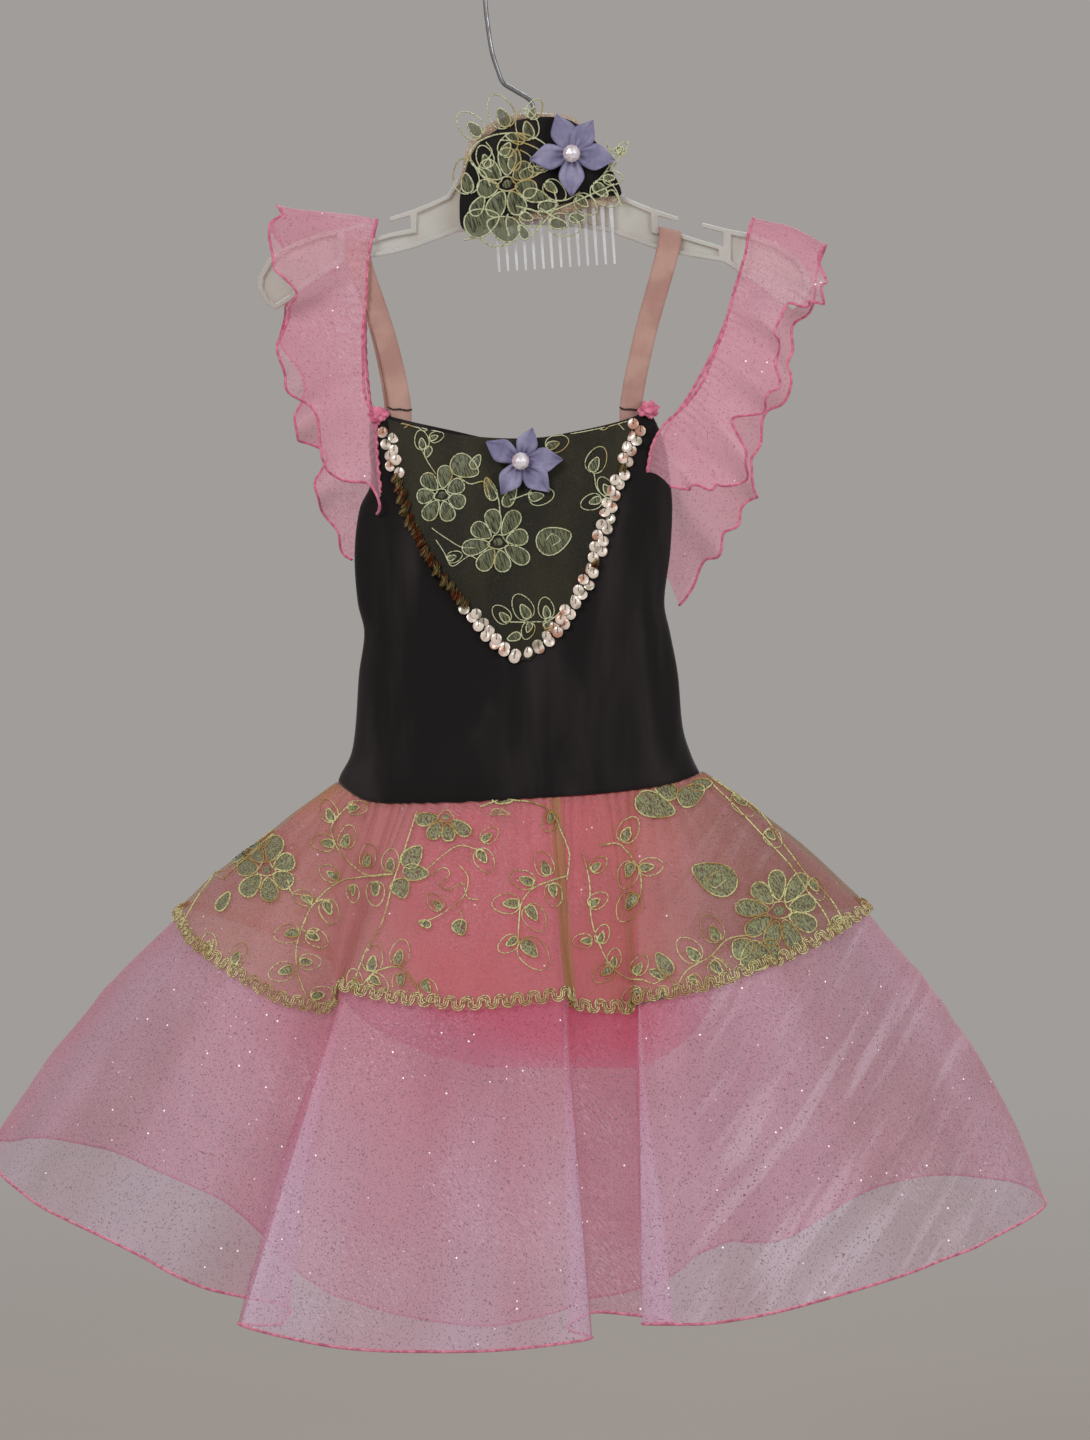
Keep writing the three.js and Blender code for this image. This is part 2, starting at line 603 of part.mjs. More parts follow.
const peplumOut = (v) => PEPLUM.clearance + PEPLUM.spread * v;
const braidOut = (v) => peplumOut(v) + NET / 2 + LAY + BRAID.thickness / 2;
const braidTop = (j) => reachAt(j) - BRAID.width / ribLengthAt(j);
addBand(['skirt_front', 'skirt_back'], SKIRT.rows, () => 0, () => 1, () => 0.2, ORGANZA, 'organza');
addBand(['peplum_front', 'peplum_back'], PEPLUM.rows, () => 0, reachAt, peplumOut, NET, 'goldNet');
const braidFoot = (j) => reachAt(j) + 0.5 / ribLengthAt(j);
addBand(['braid_front', 'braid_back'], 1, braidTop, braidFoot, braidOut, BRAID.thickness, 'braid');

// Brief: a front and a back, lapped inside the bodice's foot and cut away at the legs

const BRIEF_LEVELS = table(['down', 'left', 'right', 'front', 'back'], [
  [474, -102.5, 88, 28.6, 25.6],
  [486, -107, 91.5, 31, 28],
  [500, -105, 92, 28, 25],
  [525, -111, 97, 26, 23],
  [570, -117, 103, 23, 21],
  [602, -116, 105, 18, 17],
  [622, -104, 101, 12, 12],
  [640, -76, 86, 5, 5],
  [654, -30, 64, 0.9, 0.9],
]);
const BRIEF_COLUMNS = 10;

function briefGeometry(side) {
  const grid = BRIEF_LEVELS.map((level) => Array.from({ length: BRIEF_COLUMNS + 1 }, (_, j) => {
    const share = -0.995 + (1.99 * j) / BRIEF_COLUMNS;
    const middle = (level.left + level.right) / 2;
    const x = middle + ((level.right - level.left) / 2) * Math.sin((share * Math.PI) / 2);
    const full = fullness(Math.sin((share * Math.PI) / 2)) * 0.98 + 0.02;
    const depth = side < 0 ? level.front : level.back;
    return new THREE.Vector3(x, side * Math.max(0.75, depth * full), -level.down);
  }));
  return wall(grid, gridNormals(grid, false), ORGANZA);
}

addPiece('brief_front', briefGeometry(-1), 'brief');
addPiece('brief_back', briefGeometry(1), 'brief');

// Organza flowers: five folded petals on a hub, each with a pearl

const FLOWER = { petals: 5, hub: 4, hubDepth: 2.4, cup: 3.2, crease: 1.6 };
const PETAL = { rows: 4, columns: 2, thickness: 0.8, root: 2 };
const PETAL_HALF_WIDTH = table(['along', 'half'], [
  [0, 0.12], [0.25, 0.25], [0.5, 0.36], [0.75, 0.27], [1, 0.03],
]);
const petalHalfAt = through(PETAL_HALF_WIDTH, 'along', 'half');

function flowerGeometry({ x, down, radius, turn }, seatY) {
  const hub = new THREE.CylinderGeometry(FLOWER.hub, FLOWER.hub, FLOWER.hubDepth, 12);
  hub.translate(x, seatY - FLOWER.hubDepth / 2, -down);
  const petals = Array.from({ length: FLOWER.petals }, (_, k) => {
    const angle = turn + (2 * Math.PI * k) / FLOWER.petals;
    const grid = Array.from({ length: PETAL.rows + 1 }, (_, i) => {
      const along = i / PETAL.rows;
      const from = PETAL.root + (radius - PETAL.root) * along;
      return Array.from({ length: PETAL.columns + 1 }, (_, j) => {
        const share = (2 * j) / PETAL.columns - 1;
        const side = share * petalHalfAt(along) * radius;
        const cup = FLOWER.cup * Math.sin(Math.PI * along * 0.8);
        const crease = FLOWER.crease * share * share * (1 - along);
        const rise = FLOWER.hubDepth - 0.7 + cup + crease;
        return new THREE.Vector3(
          x + from * Math.cos(angle) - side * Math.sin(angle),
          seatY - rise,
          -down + from * Math.sin(angle) + side * Math.cos(angle),
        );
      });
    });
    return wall(grid, gridNormals(grid, false), PETAL.thickness);
  });
  return join([hub, ...petals]);
}

function pearlGeometry({ x, down }, seatY) {
  const pearl = new THREE.SphereGeometry(PEARL / 2, 10, 6);
  pearl.rotateX(Math.PI / 2);
  pearl.translate(x, seatY - FLOWER.hubDepth - LAY - PEARL / 2, -down);
  return pearl;
}

const BODICE_FLOWER = { x: -7.5, down: 299.5, radius: 20.5, turn: 0.35 };
const flowerOut = insertOut + INSERT.thickness / 2 + 1;
const flowerSeat = onBodice(BODICE_FLOWER.x, BODICE_FLOWER.down, flowerOut).point.y;
addPiece('bodice_flower', flowerGeometry(BODICE_FLOWER, flowerSeat), 'lavender');
addPiece('bodice_pearl', pearlGeometry(BODICE_FLOWER, flowerSeat), 'pearl');

// Headpiece in front of the hanger: comb, nude backing, velvet crescent, lace, flower

const HEAD_LAYERS = { comb: -HANGER.rim / 2 - LAY, backing: -6.3, base: -7.5, lace: -10.2 };
const BASE_OUTLINE = [
  [-41, 167], [-42.5, 156], [-41.8, 146], [-38, 131], [-33, 121], [-24, 113], [-12, 106.5],
  [5, 103.8], [20, 105.5], [33, 115], [43, 131], [50, 148], [44, 148.6],
  [31, 150.6], [18, 153], [5, 156.6], [-12, 160], [-24, 165], [-33, 169.5],
];
const BACKING_OUTLINE = [
  [-40, 165], [-42, 147], [-40, 128], [-36, 116], [-27, 108.5], [-14, 103.5], [6, 102], [22, 103.8],
  [32, 115], [42, 133], [48, 150], [40, 154], [26, 156], [12, 160], [-4, 163], [-20, 167],
];

function combGeometry() {
  const { teeth, pitch, length, root, tip, spine, thickness, tilt } = COMB;
  const width = (teeth - 1) * pitch + root;
  const outline = [[width - root / 2, 0], [-root / 2, 0]];
  for (let k = 0; k < teeth; k += 1) {
    const x = k * pitch;
    outline.push([x - root / 2, spine], [x - tip / 2, spine + length]);
    outline.push([x + tip / 2, spine + length], [x + root / 2, spine]);
  }
  const turned = outline.map(([x, down]) => [
    -22.6 + x * Math.cos(tilt) + down * Math.sin(tilt),
    151 + down * Math.cos(tilt) - x * Math.sin(tilt),
  ]);
  return plate(turned, HEAD_LAYERS.comb - thickness, HEAD_LAYERS.comb);
}

const LACE = { thickness: 1.0, cord: 1.5 };
const LACE_LOOPS = table(['x', 'down', 'halfLength', 'halfWidth', 'turn'], [
  [-34.5, 108.5, 8.2, 6.6, -0.7],
  [-18.5, 99.5, 9.6, 6.6, -1.0],
  [-3, 104.5, 8.2, 6.4, -1.3],
  [-40, 137, 10.5, 5.0, 1.5],
  [41, 145, 8.0, 6.0, -0.8],
  [27, 150, 7.0, 5.6, -0.4],
  [18, 161, 9.0, 5.4, -0.2],
]);
const LACE_LEAVES = table(['x', 'down', 'halfLength', 'halfWidth', 'turn'], [
  [-27, 159.5, 13, 8.5, -0.35],
  [-20, 121, 9, 5, 0.9],
  [-30, 120, 8, 4, 1.1],
  [-4, 126, 12, 3, 0.5],
  [3, 146, 11, 4, -0.3],
  [-1, 158, 9, 4, 0.5],
]);
const LACE_FLOWER = { x: -14, down: 140, radius: 14, wave: 3.6, lobes: 6, points: 36 };
const LACE_VINES = [
  [
    [-42, 128], [-37, 117], [-28, 109], [-16, 106], [-3, 110], [8, 114],
    [6, 116.4], [-4, 112.5], [-16, 108.6], [-27, 111.6], [-35, 119], [-39.6, 129],
  ],
  [
    [-10, 150], [6, 152], [20, 148], [34, 143], [46, 139],
    [47, 141.4], [35, 145.6], [20, 150.8], [6, 155], [-10, 153],
  ],
  [[-39, 123], [-31, 134], [-20, 141], [-18, 139], [-28, 130], [-33, 118], [-38, 118]],
  [[2, 150], [12, 156.5], [19, 158], [20, 155], [13, 153.6], [5, 149]],
];

function headpieceLaceGeometry() {
  const front = HEAD_LAYERS.lace - LACE.thickness;
  const flat = (outline, hole) => plate(outline, front, HEAD_LAYERS.lace, hole);
  const loops = LACE_LOOPS.map(({ x, down, halfLength, halfWidth, turn }) => flat(
    oval(x, down, halfLength, halfWidth, turn),
    oval(x, down, halfLength - LACE.cord, halfWidth - LACE.cord, turn),
  ));
  const leaves = LACE_LEAVES.map(({ x, down, halfLength, halfWidth, turn }) => (
    flat(oval(x, down, halfLength, halfWidth, turn))
  ));
  const { x, down, radius, wave, lobes, points } = LACE_FLOWER;
  const flower = flat(Array.from({ length: points }, (_, k) => {
    const angle = (2 * Math.PI * k) / points;
    const reach = radius + wave * Math.cos(lobes * angle);
    return [x + reach * Math.cos(angle), down - reach * Math.sin(angle)];
  }));
  return join([flower, ...LACE_VINES.map((vine) => flat(vine)), ...leaves, ...loops]);
}

const HEAD_FLOWER = { x: 21.5, down: 125, radius: 23, turn: 0.95 };
addPiece('comb', combGeometry(), 'clearPlastic');
const crescent = (outline, back, thickness) => plate(outline, back - thickness, back);
addPiece('headpiece_backing', crescent(BACKING_OUTLINE, HEAD_LAYERS.backing, 0.9), 'elastic');
addPiece('headpiece_base', crescent(BASE_OUTLINE, HEAD_LAYERS.base, 2.4), 'velvet');
addPiece('headpiece_lace', headpieceLaceGeometry(), 'lace');
addPiece('headpiece_flower', flowerGeometry(HEAD_FLOWER, HEAD_LAYERS.lace), 'lavender');
addPiece('headpiece_pearl', pearlGeometry(HEAD_FLOWER, HEAD_LAYERS.lace), 'pearl');

export default costume;
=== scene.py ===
# %% [markdown]
# A child's stage dance costume on its shop hanger: black velvet bodice with a gold net insert, glitter
# organza skirt under a gold net peplum, organza ruffles for sleeves, and a hair comb with lace.
# The imported CAD part is loaded first. Everything is in metres, the front faces -Y and the origin is
# inside the top of the hook. The box of the solids is kept, and printed at the end beside the dressed
# model's box.

# %% Load the frame
import math
import random

import bmesh
import bpy
import numpy as np
from mathutils import Matrix, Vector, noise
from mathutils.bvhtree import BVHTree


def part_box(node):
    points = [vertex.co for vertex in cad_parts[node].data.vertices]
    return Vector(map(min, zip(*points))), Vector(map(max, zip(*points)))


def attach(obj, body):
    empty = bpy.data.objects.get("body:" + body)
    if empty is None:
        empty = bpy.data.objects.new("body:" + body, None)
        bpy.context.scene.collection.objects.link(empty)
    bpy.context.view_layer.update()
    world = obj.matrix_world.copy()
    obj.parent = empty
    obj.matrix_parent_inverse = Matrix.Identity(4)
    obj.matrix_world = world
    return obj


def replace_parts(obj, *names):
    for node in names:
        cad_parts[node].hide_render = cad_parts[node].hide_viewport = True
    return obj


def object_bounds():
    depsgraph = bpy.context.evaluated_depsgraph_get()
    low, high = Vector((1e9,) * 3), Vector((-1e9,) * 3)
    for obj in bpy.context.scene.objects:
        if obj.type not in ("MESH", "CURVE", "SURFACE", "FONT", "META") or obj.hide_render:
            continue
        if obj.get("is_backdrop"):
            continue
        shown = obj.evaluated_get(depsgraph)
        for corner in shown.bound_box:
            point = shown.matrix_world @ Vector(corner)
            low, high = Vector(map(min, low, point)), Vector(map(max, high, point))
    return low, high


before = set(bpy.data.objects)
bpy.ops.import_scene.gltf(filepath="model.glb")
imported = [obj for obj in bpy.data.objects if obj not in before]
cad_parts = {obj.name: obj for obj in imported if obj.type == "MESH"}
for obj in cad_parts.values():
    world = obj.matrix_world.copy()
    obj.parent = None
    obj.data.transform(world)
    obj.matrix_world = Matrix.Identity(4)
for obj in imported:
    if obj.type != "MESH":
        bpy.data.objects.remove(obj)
cad_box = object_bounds()
print("nodes in the frame:", len(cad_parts))

# %% [markdown]
# The camera stands in front, 2.4 m away and 5 degrees above, with a long lens, as in the photograph.
# The sensor is fitted to the frame's width, so a place in the photograph is a ray from the camera.
# That ray is used later to lay embroidery on the folds that carry it.

# %% Camera
MM = 0.001
FRAME_WIDTH, FRAME_HEIGHT = 1090, 1440
PIXEL = 0.58    # mm, at the costume
SENSOR = 36
TARGET = Vector((0.0064, 0.0, -0.4501))
DISTANCE = 2.4
RISE = math.radians(5)
FOCAL_PIXELS = DISTANCE / (PIXEL * MM)


def placed(name, data):
    """A new object of the data, linked to the scene."""
    made = bpy.data.objects.new(name, data)
    bpy.context.scene.collection.objects.link(made)
    return made


camera = placed("camera", bpy.data.cameras.new("camera"))
camera.location = TARGET + DISTANCE * Vector((0, -math.cos(RISE), math.sin(RISE)))
camera.rotation_euler = (TARGET - camera.location).to_track_quat("-Z", "Y").to_euler()
camera.data.sensor_fit = "HORIZONTAL"
camera.data.sensor_width = SENSOR
camera.data.lens = SENSOR * FOCAL_PIXELS / FRAME_WIDTH
camera.data.clip_end = 50
bpy.context.scene.camera = camera
print("lens:", round(camera.data.lens, 1), "mm")


def ray_of(px, py, behind=False):
    """Where a ray through a place in the frame starts, and its way; behind mirrors it to the back."""
    turn = camera.rotation_euler.to_matrix()
    across = (px - FRAME_WIDTH / 2) / FOCAL_PIXELS
    up = (FRAME_HEIGHT / 2 - py) / FOCAL_PIXELS
    start, way = camera.location.copy(), (turn @ Vector((across, up, -1))).normalized()
    if behind:
        start.y, way.y = -start.y, -way.y
    return start, way


# %% [markdown]
# Node materials are written with one small class. It starts a material from its Principled shader. Its
# methods add the nodes that vary it and give back the output to use next, or feed the shader at once.
# Colours are given as a screen shows them.

# %% Helpers for materials
def tone(red, green, blue):
    """A colour of 0 to 255 on the screen, as the linear colour that the shaders work in."""
    return (*((c / 12.92 if c <= 0.04045 else ((c + 0.055) / 1.055) ** 2.4)
              for c in (red / 255, green / 255, blue / 255)), 1.0)


class Finish:
    """A material of one Principled shader, and the nodes that feed it."""

    def __init__(self, name, colour, roughness, **sockets):
        self.material = bpy.data.materials.new(name)
        self.material.use_nodes = True
        self.material.diffuse_color = colour
        self.tree = self.material.node_tree
        self.shader = self.tree.nodes["Principled BSDF"]
        for key, value in {"Base_Color": colour, "Roughness": roughness, **sockets}.items():
            self.shader.inputs[key.replace("_", " ")].default_value = value

    def add(self, kind, inputs, **settings):
        """A node of that kind. An input is a value, or the output that feeds it."""
        node = self.tree.nodes.new("ShaderNode" + kind)
        for key, value in settings.items():
            setattr(node, key, value)
        for key, value in inputs.items():
            if isinstance(value, bpy.types.NodeSocket):
                self.tree.links.new(value, node.inputs[key])
            else:
                node.inputs[key].default_value = value
        return node

    def feed(self, **sockets):
        """Link outputs to the shader's sockets of those names."""
        for key, value in sockets.items():
            self.tree.links.new(value, self.shader.inputs[key.replace("_", " ")])

    def blend(self, share, first, second):
        """The colour that lies at that share between two colours."""
        return self.add("Mix", {0: share, 6: first, 7: second}, data_type="RGBA").outputs[2]

    def steps(self, value, low, high, start=0.0, end=1.0):
        """A smooth rise from start to end as the value goes from low to high."""
        return self.add("MapRange", {0: value, 1: low, 2: high, 3: start, 4: end},
                        interpolation_type="SMOOTHSTEP").outputs[0]

    def math(self, operation, *values):
        return self.add("Math", dict(enumerate(values)), operation=operation).outputs[0]

    def times(self, first, second):
        return self.math("MULTIPLY", first, second)

    def plus(self, first, second):
        return self.math("ADD", first, second)

    def away(self, value, middle):
        """How far a value lies from the middle, either way."""
        return self.math("ABSOLUTE", self.plus(value, -middle))

    def place(self, scale=(1, 1, 1), turn=0, shift=(0, 0, 0), at=None):
        """The place on the object, or the one given as at: scaled, turned about Y, then shifted."""
        at = at or self.add("TexCoord", {}).outputs["Object"]
        return self.add("Mapping", {"Vector": at, "Scale": scale, "Rotation": (0, turn, 0),
                                    "Location": shift}).outputs[0]

    def flat(self, scale=(1, 1, 1)):
        """The place on the flat cloth, in metres, from the piece's own UV map."""
        return self.place(scale, at=self.add("UVMap", {}, uv_map="cloth").outputs[0])

    def xyz(self):
        return self.add("SeparateXYZ", {0: self.place()}).outputs

    def noise(self, scale, detail=2.0, at=None, **more):
        return self.add("TexNoise", {"Vector": at or self.place(), "Scale": scale, "Detail": detail,
                                     **more}).outputs[0]

    def streaks(self, turn, scale, detail=1.0):
        """Noise drawn out along a slant: the place is turned first, and then scaled."""
        return self.noise(1.0, detail, self.place(scale, at=self.place(turn=turn)))

    def mesh(self, scale, at=None):
        """How far a place lies from the nearest edge between two cells, as the holes of a net."""
        return self.add("TexVoronoi", {"Vector": at or self.place(), "Scale": scale},
                        feature="DISTANCE_TO_EDGE").outputs["Distance"]

    def mottle(self, grain, low, high, first, second):
        """The base colour turns from the first to the second as the grain goes from low to high."""
        self.feed(Base_Color=self.blend(self.steps(grain, low, high), first, second))

    def bump(self, height, strength, distance):
        self.feed(Normal=self.add("Bump", {"Height": height, "Strength": strength,
                                           "Distance": distance}).outputs[0])


# %% [markdown]
# Glitter organza is sheer: a single layer tints what lies behind it, and two layers read as pink. So its
# alpha is about a half, and a fine speckle of dark and light threads modulates both colour and alpha.
# Layers towards the light are painted pale lilac, as lit cloth, and those behind a deeper pink, as painted
# shade, so the colour turns from one to the other with depth, and is deepest in the middle of the skirt.
# Glitter flakes are small round cells of a Voronoi texture that are opaque and glossy, and glow pale as a
# painted glint. A painted shimmer, pale highlights along fine slanted threads, runs across it. A part of
# the colour is given off evenly as a painted glow, standing in for light that comes through sheer cloth
# from behind, and long soft streaks down the cloth, on its own UV map, are painted light and shade where
# it stands in flutes. At the three big folds of the front the cloth is painted paler along the fold's
# edge, as a highlight, and deeper pink in the hollow beside it, as shade. Each fold is a plane through
# its edge, as the way across and how far it lies from the origin. On the right, where the cloth is
# crumpled, bright creases run down slantwise as painted highlights.

# %% Organza
FOLD_PLANES = [(0.956, -0.294, -0.0728), (-0.997, -0.0795, -0.0304), (1.0, 0.008, -0.0547)]
THREAD_GRAIN = (1500, 1500, 190)
# Share of the base colour that glows evenly: a painted glow, for light that comes through the cloth.
PAINTED_GLOW = 0.24


def beyond(f, plane):
    """How far a place lies to the fold's own side of its plane, in metres."""
    across, up, off = plane
    reach = f.add("VectorMath", {0: f.place(), 1: (across, 0, up)}, operation="DOT_PRODUCT")
    return f.plus(reach.outputs["Value"], off)


def organza(name, colour, dark, light, back, alpha, flakes, centre=None, deep=None):
    """Only the skirt has a centre and a deep colour, with painted light and shade of its flutes,
    painted highlights where it is crumpled and painted light and shade at its folds.
    """
    f = Finish(name, colour, 0.5, Sheen_Weight=0.4, Sheen_Roughness=0.4, Sheen_Tint=tone(255, 214, 230),
               Specular_IOR_Level=0.35, Emission_Strength=0.9)
    speck = f.noise(900.0, 1.0)
    # Painted highlights: a shimmer along fine slanted threads, in patches.
    shimmer = f.times(f.steps(f.streaks(0.75, THREAD_GRAIN), 0.48, 0.66),
                      f.steps(f.noise(16.0, 1.0), 0.42, 0.70))
    cells = f.add("TexVoronoi", {"Vector": f.place(), "Scale": 330.0}).outputs
    chance = f.steps(f.add("SeparateColor", {0: cells["Color"]}).outputs[0],
                     1 - 0.030 * flakes, 1 - 0.025 * flakes)
    flake = f.times(f.steps(cells["Distance"], 0.22, 0.12), chance)
    x, y, z = f.xyz()
    # Layers behind the middle get the back colour, a deeper pink painted as shade.
    behind = f.steps(y, -0.03, 0.03)
    base = f.blend(f.steps(f.noise(9.0, 1.0), 0.3, 0.7), colour, light)
    weave = f.plus(f.steps(speck, 0.35, 0.65, alpha + 0.06, alpha - 0.06), f.times(behind, 0.10))
    if centre:
        inner = f.steps(f.away(x, -0.03), 0.20, 0.05)
        heart = f.times(inner, f.steps(z, -0.72, -0.60))
        # Painted light and shade of the flutes: paler streaks in front, deeper pink ones behind.
        flute_shading = f.steps(f.noise(1.0, 2.0, f.flat((17, 2.2, 1))), 0.36, 0.62)
        # Painted highlights along slanted creases on the crumpled right.
        crease_highlights = f.times(f.steps(f.streaks(-0.62, (95, 0, 9), 2.0), 0.50, 0.66), f.steps(x, 0.05, 0.11))
        layers = [(inner, centre), (f.times(flute_shading, 0.55), tone(206, 174, 200)),
                  (f.times(crease_highlights, 0.5), tone(228, 206, 222))]
        for plane in FOLD_PLANES:
            past = beyond(f, plane)
            # Painted highlight along each fold's edge and painted shade in the hollow beside it.
            fold_highlight = f.times(f.steps(past, 0.045, 0.0), f.steps(past, -0.0005, 0.0005))
            fold_shade = f.times(f.steps(past, -0.032, 0.0), f.steps(past, 0.0005, -0.0005))
            layers += [(f.times(fold_highlight, 0.5), tone(218, 190, 212)),
                       (f.times(fold_shade, 0.55), tone(180, 88, 116))]
        for share, shade in [*layers, (f.times(heart, 0.6), deep)]:
            base = f.blend(share, base, shade)
        back = f.blend(heart, f.blend(f.times(flute_shading, 0.4), back, tone(196, 92, 122)), deep)
        low = f.times(inner, f.steps(z, -0.75, -0.80))
        weave = f.plus(f.plus(weave, f.times(crease_highlights, 0.08)),
                       f.times(low, f.steps(behind, 0, 1, 0.12, -0.20)))
    # The back colour here is painted shade on the layers behind; the front keeps the lit lilac.
    for share, shade in [(behind, back), (f.steps(speck, 0.43, 0.31), dark),
                         (f.times(shimmer, 0.4), tone(236, 208, 226)), (flake, tone(255, 246, 250))]:
        base = f.blend(share, base, shade)
    black = tone(0, 0, 0)
    # The emission is painted light: an even glow of the base colour, and pale painted glints on the flakes.
    f.feed(Base_Color=f.blend(1 - PAINTED_GLOW, black, base), Roughness=f.steps(flake, 0, 1, 0.5, 0.2),
           Emission_Color=f.blend(flake, f.blend(PAINTED_GLOW, black, base), tone(225, 212, 218)),
           Alpha=f.math("MAXIMUM", f.plus(weave, f.times(shimmer, 0.10)), flake))
    f.bump(f.plus(speck, shimmer), 0.3, 0.0005)
    return f


skirt_organza = organza("skirt_organza", tone(175, 140, 154), tone(126, 84, 104), tone(188, 154, 172),
                        tone(206, 114, 132), 0.50, 1.0, tone(196, 142, 166), tone(208, 78, 108))
ruffle_organza = organza("ruffle_organza", tone(212, 150, 166), tone(176, 108, 130), tone(220, 164, 180),
                         tone(212, 140, 158), 0.58, 0.5)
print("organza: 2 finishes")

# %% [markdown]
# The rolled hem is the same organza turned over a fine cord, so it is denser and deeper pink. Round the
# back it is closer to the cloth's own pink, and fainter low down.

# %% Rolled hem
def hem_finish(name, colour, dark, light):
    f = Finish(name, colour, 0.55, Sheen_Weight=0.3)
    twist = f.noise(300.0)
    f.bump(twist, 0.4, 0.0008)
    return f, f.blend(f.steps(twist, 0.3, 0.7), dark, light)


rolled_hem, pink = hem_finish("rolled_hem", tone(196, 96, 124), tone(176, 82, 112), tone(226, 138, 164))
f = rolled_hem
x, y, z = f.xyz()
faded = f.steps(y, 0.005, 0.035)
gone = f.times(faded, f.steps(z, -0.75, -0.80, 0.25, 0.50))
f.feed(Base_Color=f.blend(faded, pink, tone(196, 110, 134)), Alpha=f.math("SUBTRACT", 1.0, gone))
ruffle_hem, pink = hem_finish("ruffle_hem", tone(214, 104, 138), tone(194, 86, 120), tone(230, 130, 160))
ruffle_hem.feed(Base_Color=pink)
print("hems: 2 finishes")

# %% [markdown]
# Gold net is sheerer still: a brown gold mesh whose holes let the pink through. The cells come from a
# Voronoi texture's distance to its edges. Towards the right the net is a little denser and browner, and
# over the brief in the middle it is warmed by the pink. Along the fold right of the middle it lies
# double, as a narrow brown gold strip.

# %% Gold net
NET_CELL, NET_ALPHA = 1.1, 0.30
f = peplum_net = Finish("peplum_net", tone(164, 112, 74), 0.5, Sheen_Weight=0.25,
                        Sheen_Tint=tone(255, 235, 200))
strands = f.steps(f.mesh(1 / (NET_CELL * MM)), 0.16, 0.04)
x, y, z = f.xyz()
past = beyond(f, FOLD_PLANES[1])
strip = f.times(f.steps(past, -0.0068, -0.0060), f.steps(past, 0.0, -0.0006))
double = f.times(strip, f.steps(y, 0.0, -0.01))
base = f.blend(f.steps(f.noise(14.0, 1.0), 0.35, 0.65), tone(164, 112, 74), tone(178, 126, 86))
for share, shade in [(f.steps(f.away(x, -0.02), 0.09, 0.03), tone(192, 116, 104)),
                     (f.steps(x, 0.06, 0.13), tone(138, 92, 56)), (double, tone(158, 118, 66))]:
    base = f.blend(share, base, shade)
thicker = f.plus(f.steps(x, 0.05, 0.15, NET_ALPHA, NET_ALPHA + 0.12), f.times(double, 0.30))
f.feed(Base_Color=base, Alpha=f.plus(f.times(strands, 0.22), thicker))
f.bump(strands, 0.3, 0.0004)
print("net cell:", NET_CELL, "mm")

# %% [markdown]
# Stretch velvet is nearly black face on and lighter where it turns away, which is what the sheen of a
# short pile does. Soft lighter streaks are partly where hands have brushed the pile and partly painted
# sheen. The insert is the same velvet with gold net over it: a dark olive with a faint mesh of gold
# threads, and the same streaks.

# %% Velvet, and net over velvet
f = velvet = Finish("black_velvet", tone(24, 20, 23), 0.9, Sheen_Weight=0.85, Sheen_Roughness=0.35,
                    Sheen_Tint=tone(190, 182, 186), Specular_IOR_Level=0.15)
pile_and_sheen = f.noise(30.0, 3.0, f.place((1, 1, 0.18)), Distortion=0.5)
# Lighter streaks: brushed pile, and painted sheen.
f.mottle(pile_and_sheen, 0.42, 0.70, tone(26, 23, 24), tone(48, 43, 44))
f.bump(f.plus(f.noise(1400.0, 1.0), pile_and_sheen), 0.3, 0.0006)

f = insert_net = Finish("net_over_velvet", tone(52, 50, 36), 0.7, Sheen_Weight=0.4,
                        Sheen_Tint=tone(200, 190, 150), Specular_IOR_Level=0.25)
threads = f.mesh(800.0, f.flat())
# Lighter streaks are brushed pile and painted sheen, as on the velvet.
streaks = f.noise(46.0, 3.0, f.place((1, 1, 0.25)))
dim = f.blend(f.steps(streaks, 0.42, 0.72), tone(18, 17, 13), tone(38, 36, 24))
f.feed(Base_Color=f.blend(f.steps(threads, 0.14, 0.03, 0.0, 0.30), dim, tone(72, 66, 46)))
f.bump(threads, 0.2, 0.0004)
print("velvet finishes:", velvet.material.name, "and", insert_net.material.name)

# %% [markdown]
# Plain finishes: nude elastic with lengthwise ribs, nude net, pink jersey that is paler where it is
# stretched round the leg openings, steel wire, milky and clear moulded plastic. Each keeps a small
# variation, because no real surface has one flat colour.

# %% Plain finishes
f = elastic = Finish("nude_elastic", tone(196, 152, 138), 0.8, Sheen_Weight=0.2)
f.mottle(f.noise(60.0, 4.0), 0.3, 0.7, tone(172, 130, 120), tone(190, 152, 140))
ribs = f.add("TexWave", {"Vector": f.place((1, 1, 0.1)), "Scale": 420.0, "Distortion": 1.0})
f.bump(ribs.outputs["Fac"], 0.25, 0.0004)

f = sheer_backing = Finish("nude_net", tone(206, 176, 150), 0.6)
hair_net = f.mesh(900.0)
f.mottle(hair_net, 0.2, 0.0, tone(192, 158, 132), tone(220, 196, 170))
f.feed(Alpha=f.steps(hair_net, 0.14, 0.04, 0.30, 0.75))

f = jersey = Finish("pink_jersey", tone(214, 84, 118), 0.8, Sheen_Weight=0.3)
knit = f.noise(500.0)
from_seat = f.add("VectorMath", {0: f.place((7.7, 0, 9.52), shift=(-0.23, 0, 5.33))}, operation="LENGTH")
edge = f.math("MAXIMUM", f.steps(f.away(f.xyz()[0], -0.006), 0.070, 0.108),
              f.steps(from_seat.outputs["Value"], 0.72, 1.0))
deep = f.blend(f.steps(knit, 0.3, 0.7), tone(192, 50, 80), tone(212, 74, 102))
f.feed(Base_Color=f.blend(edge, deep, tone(190, 122, 138)))
f.bump(knit, 0.2, 0.0005)

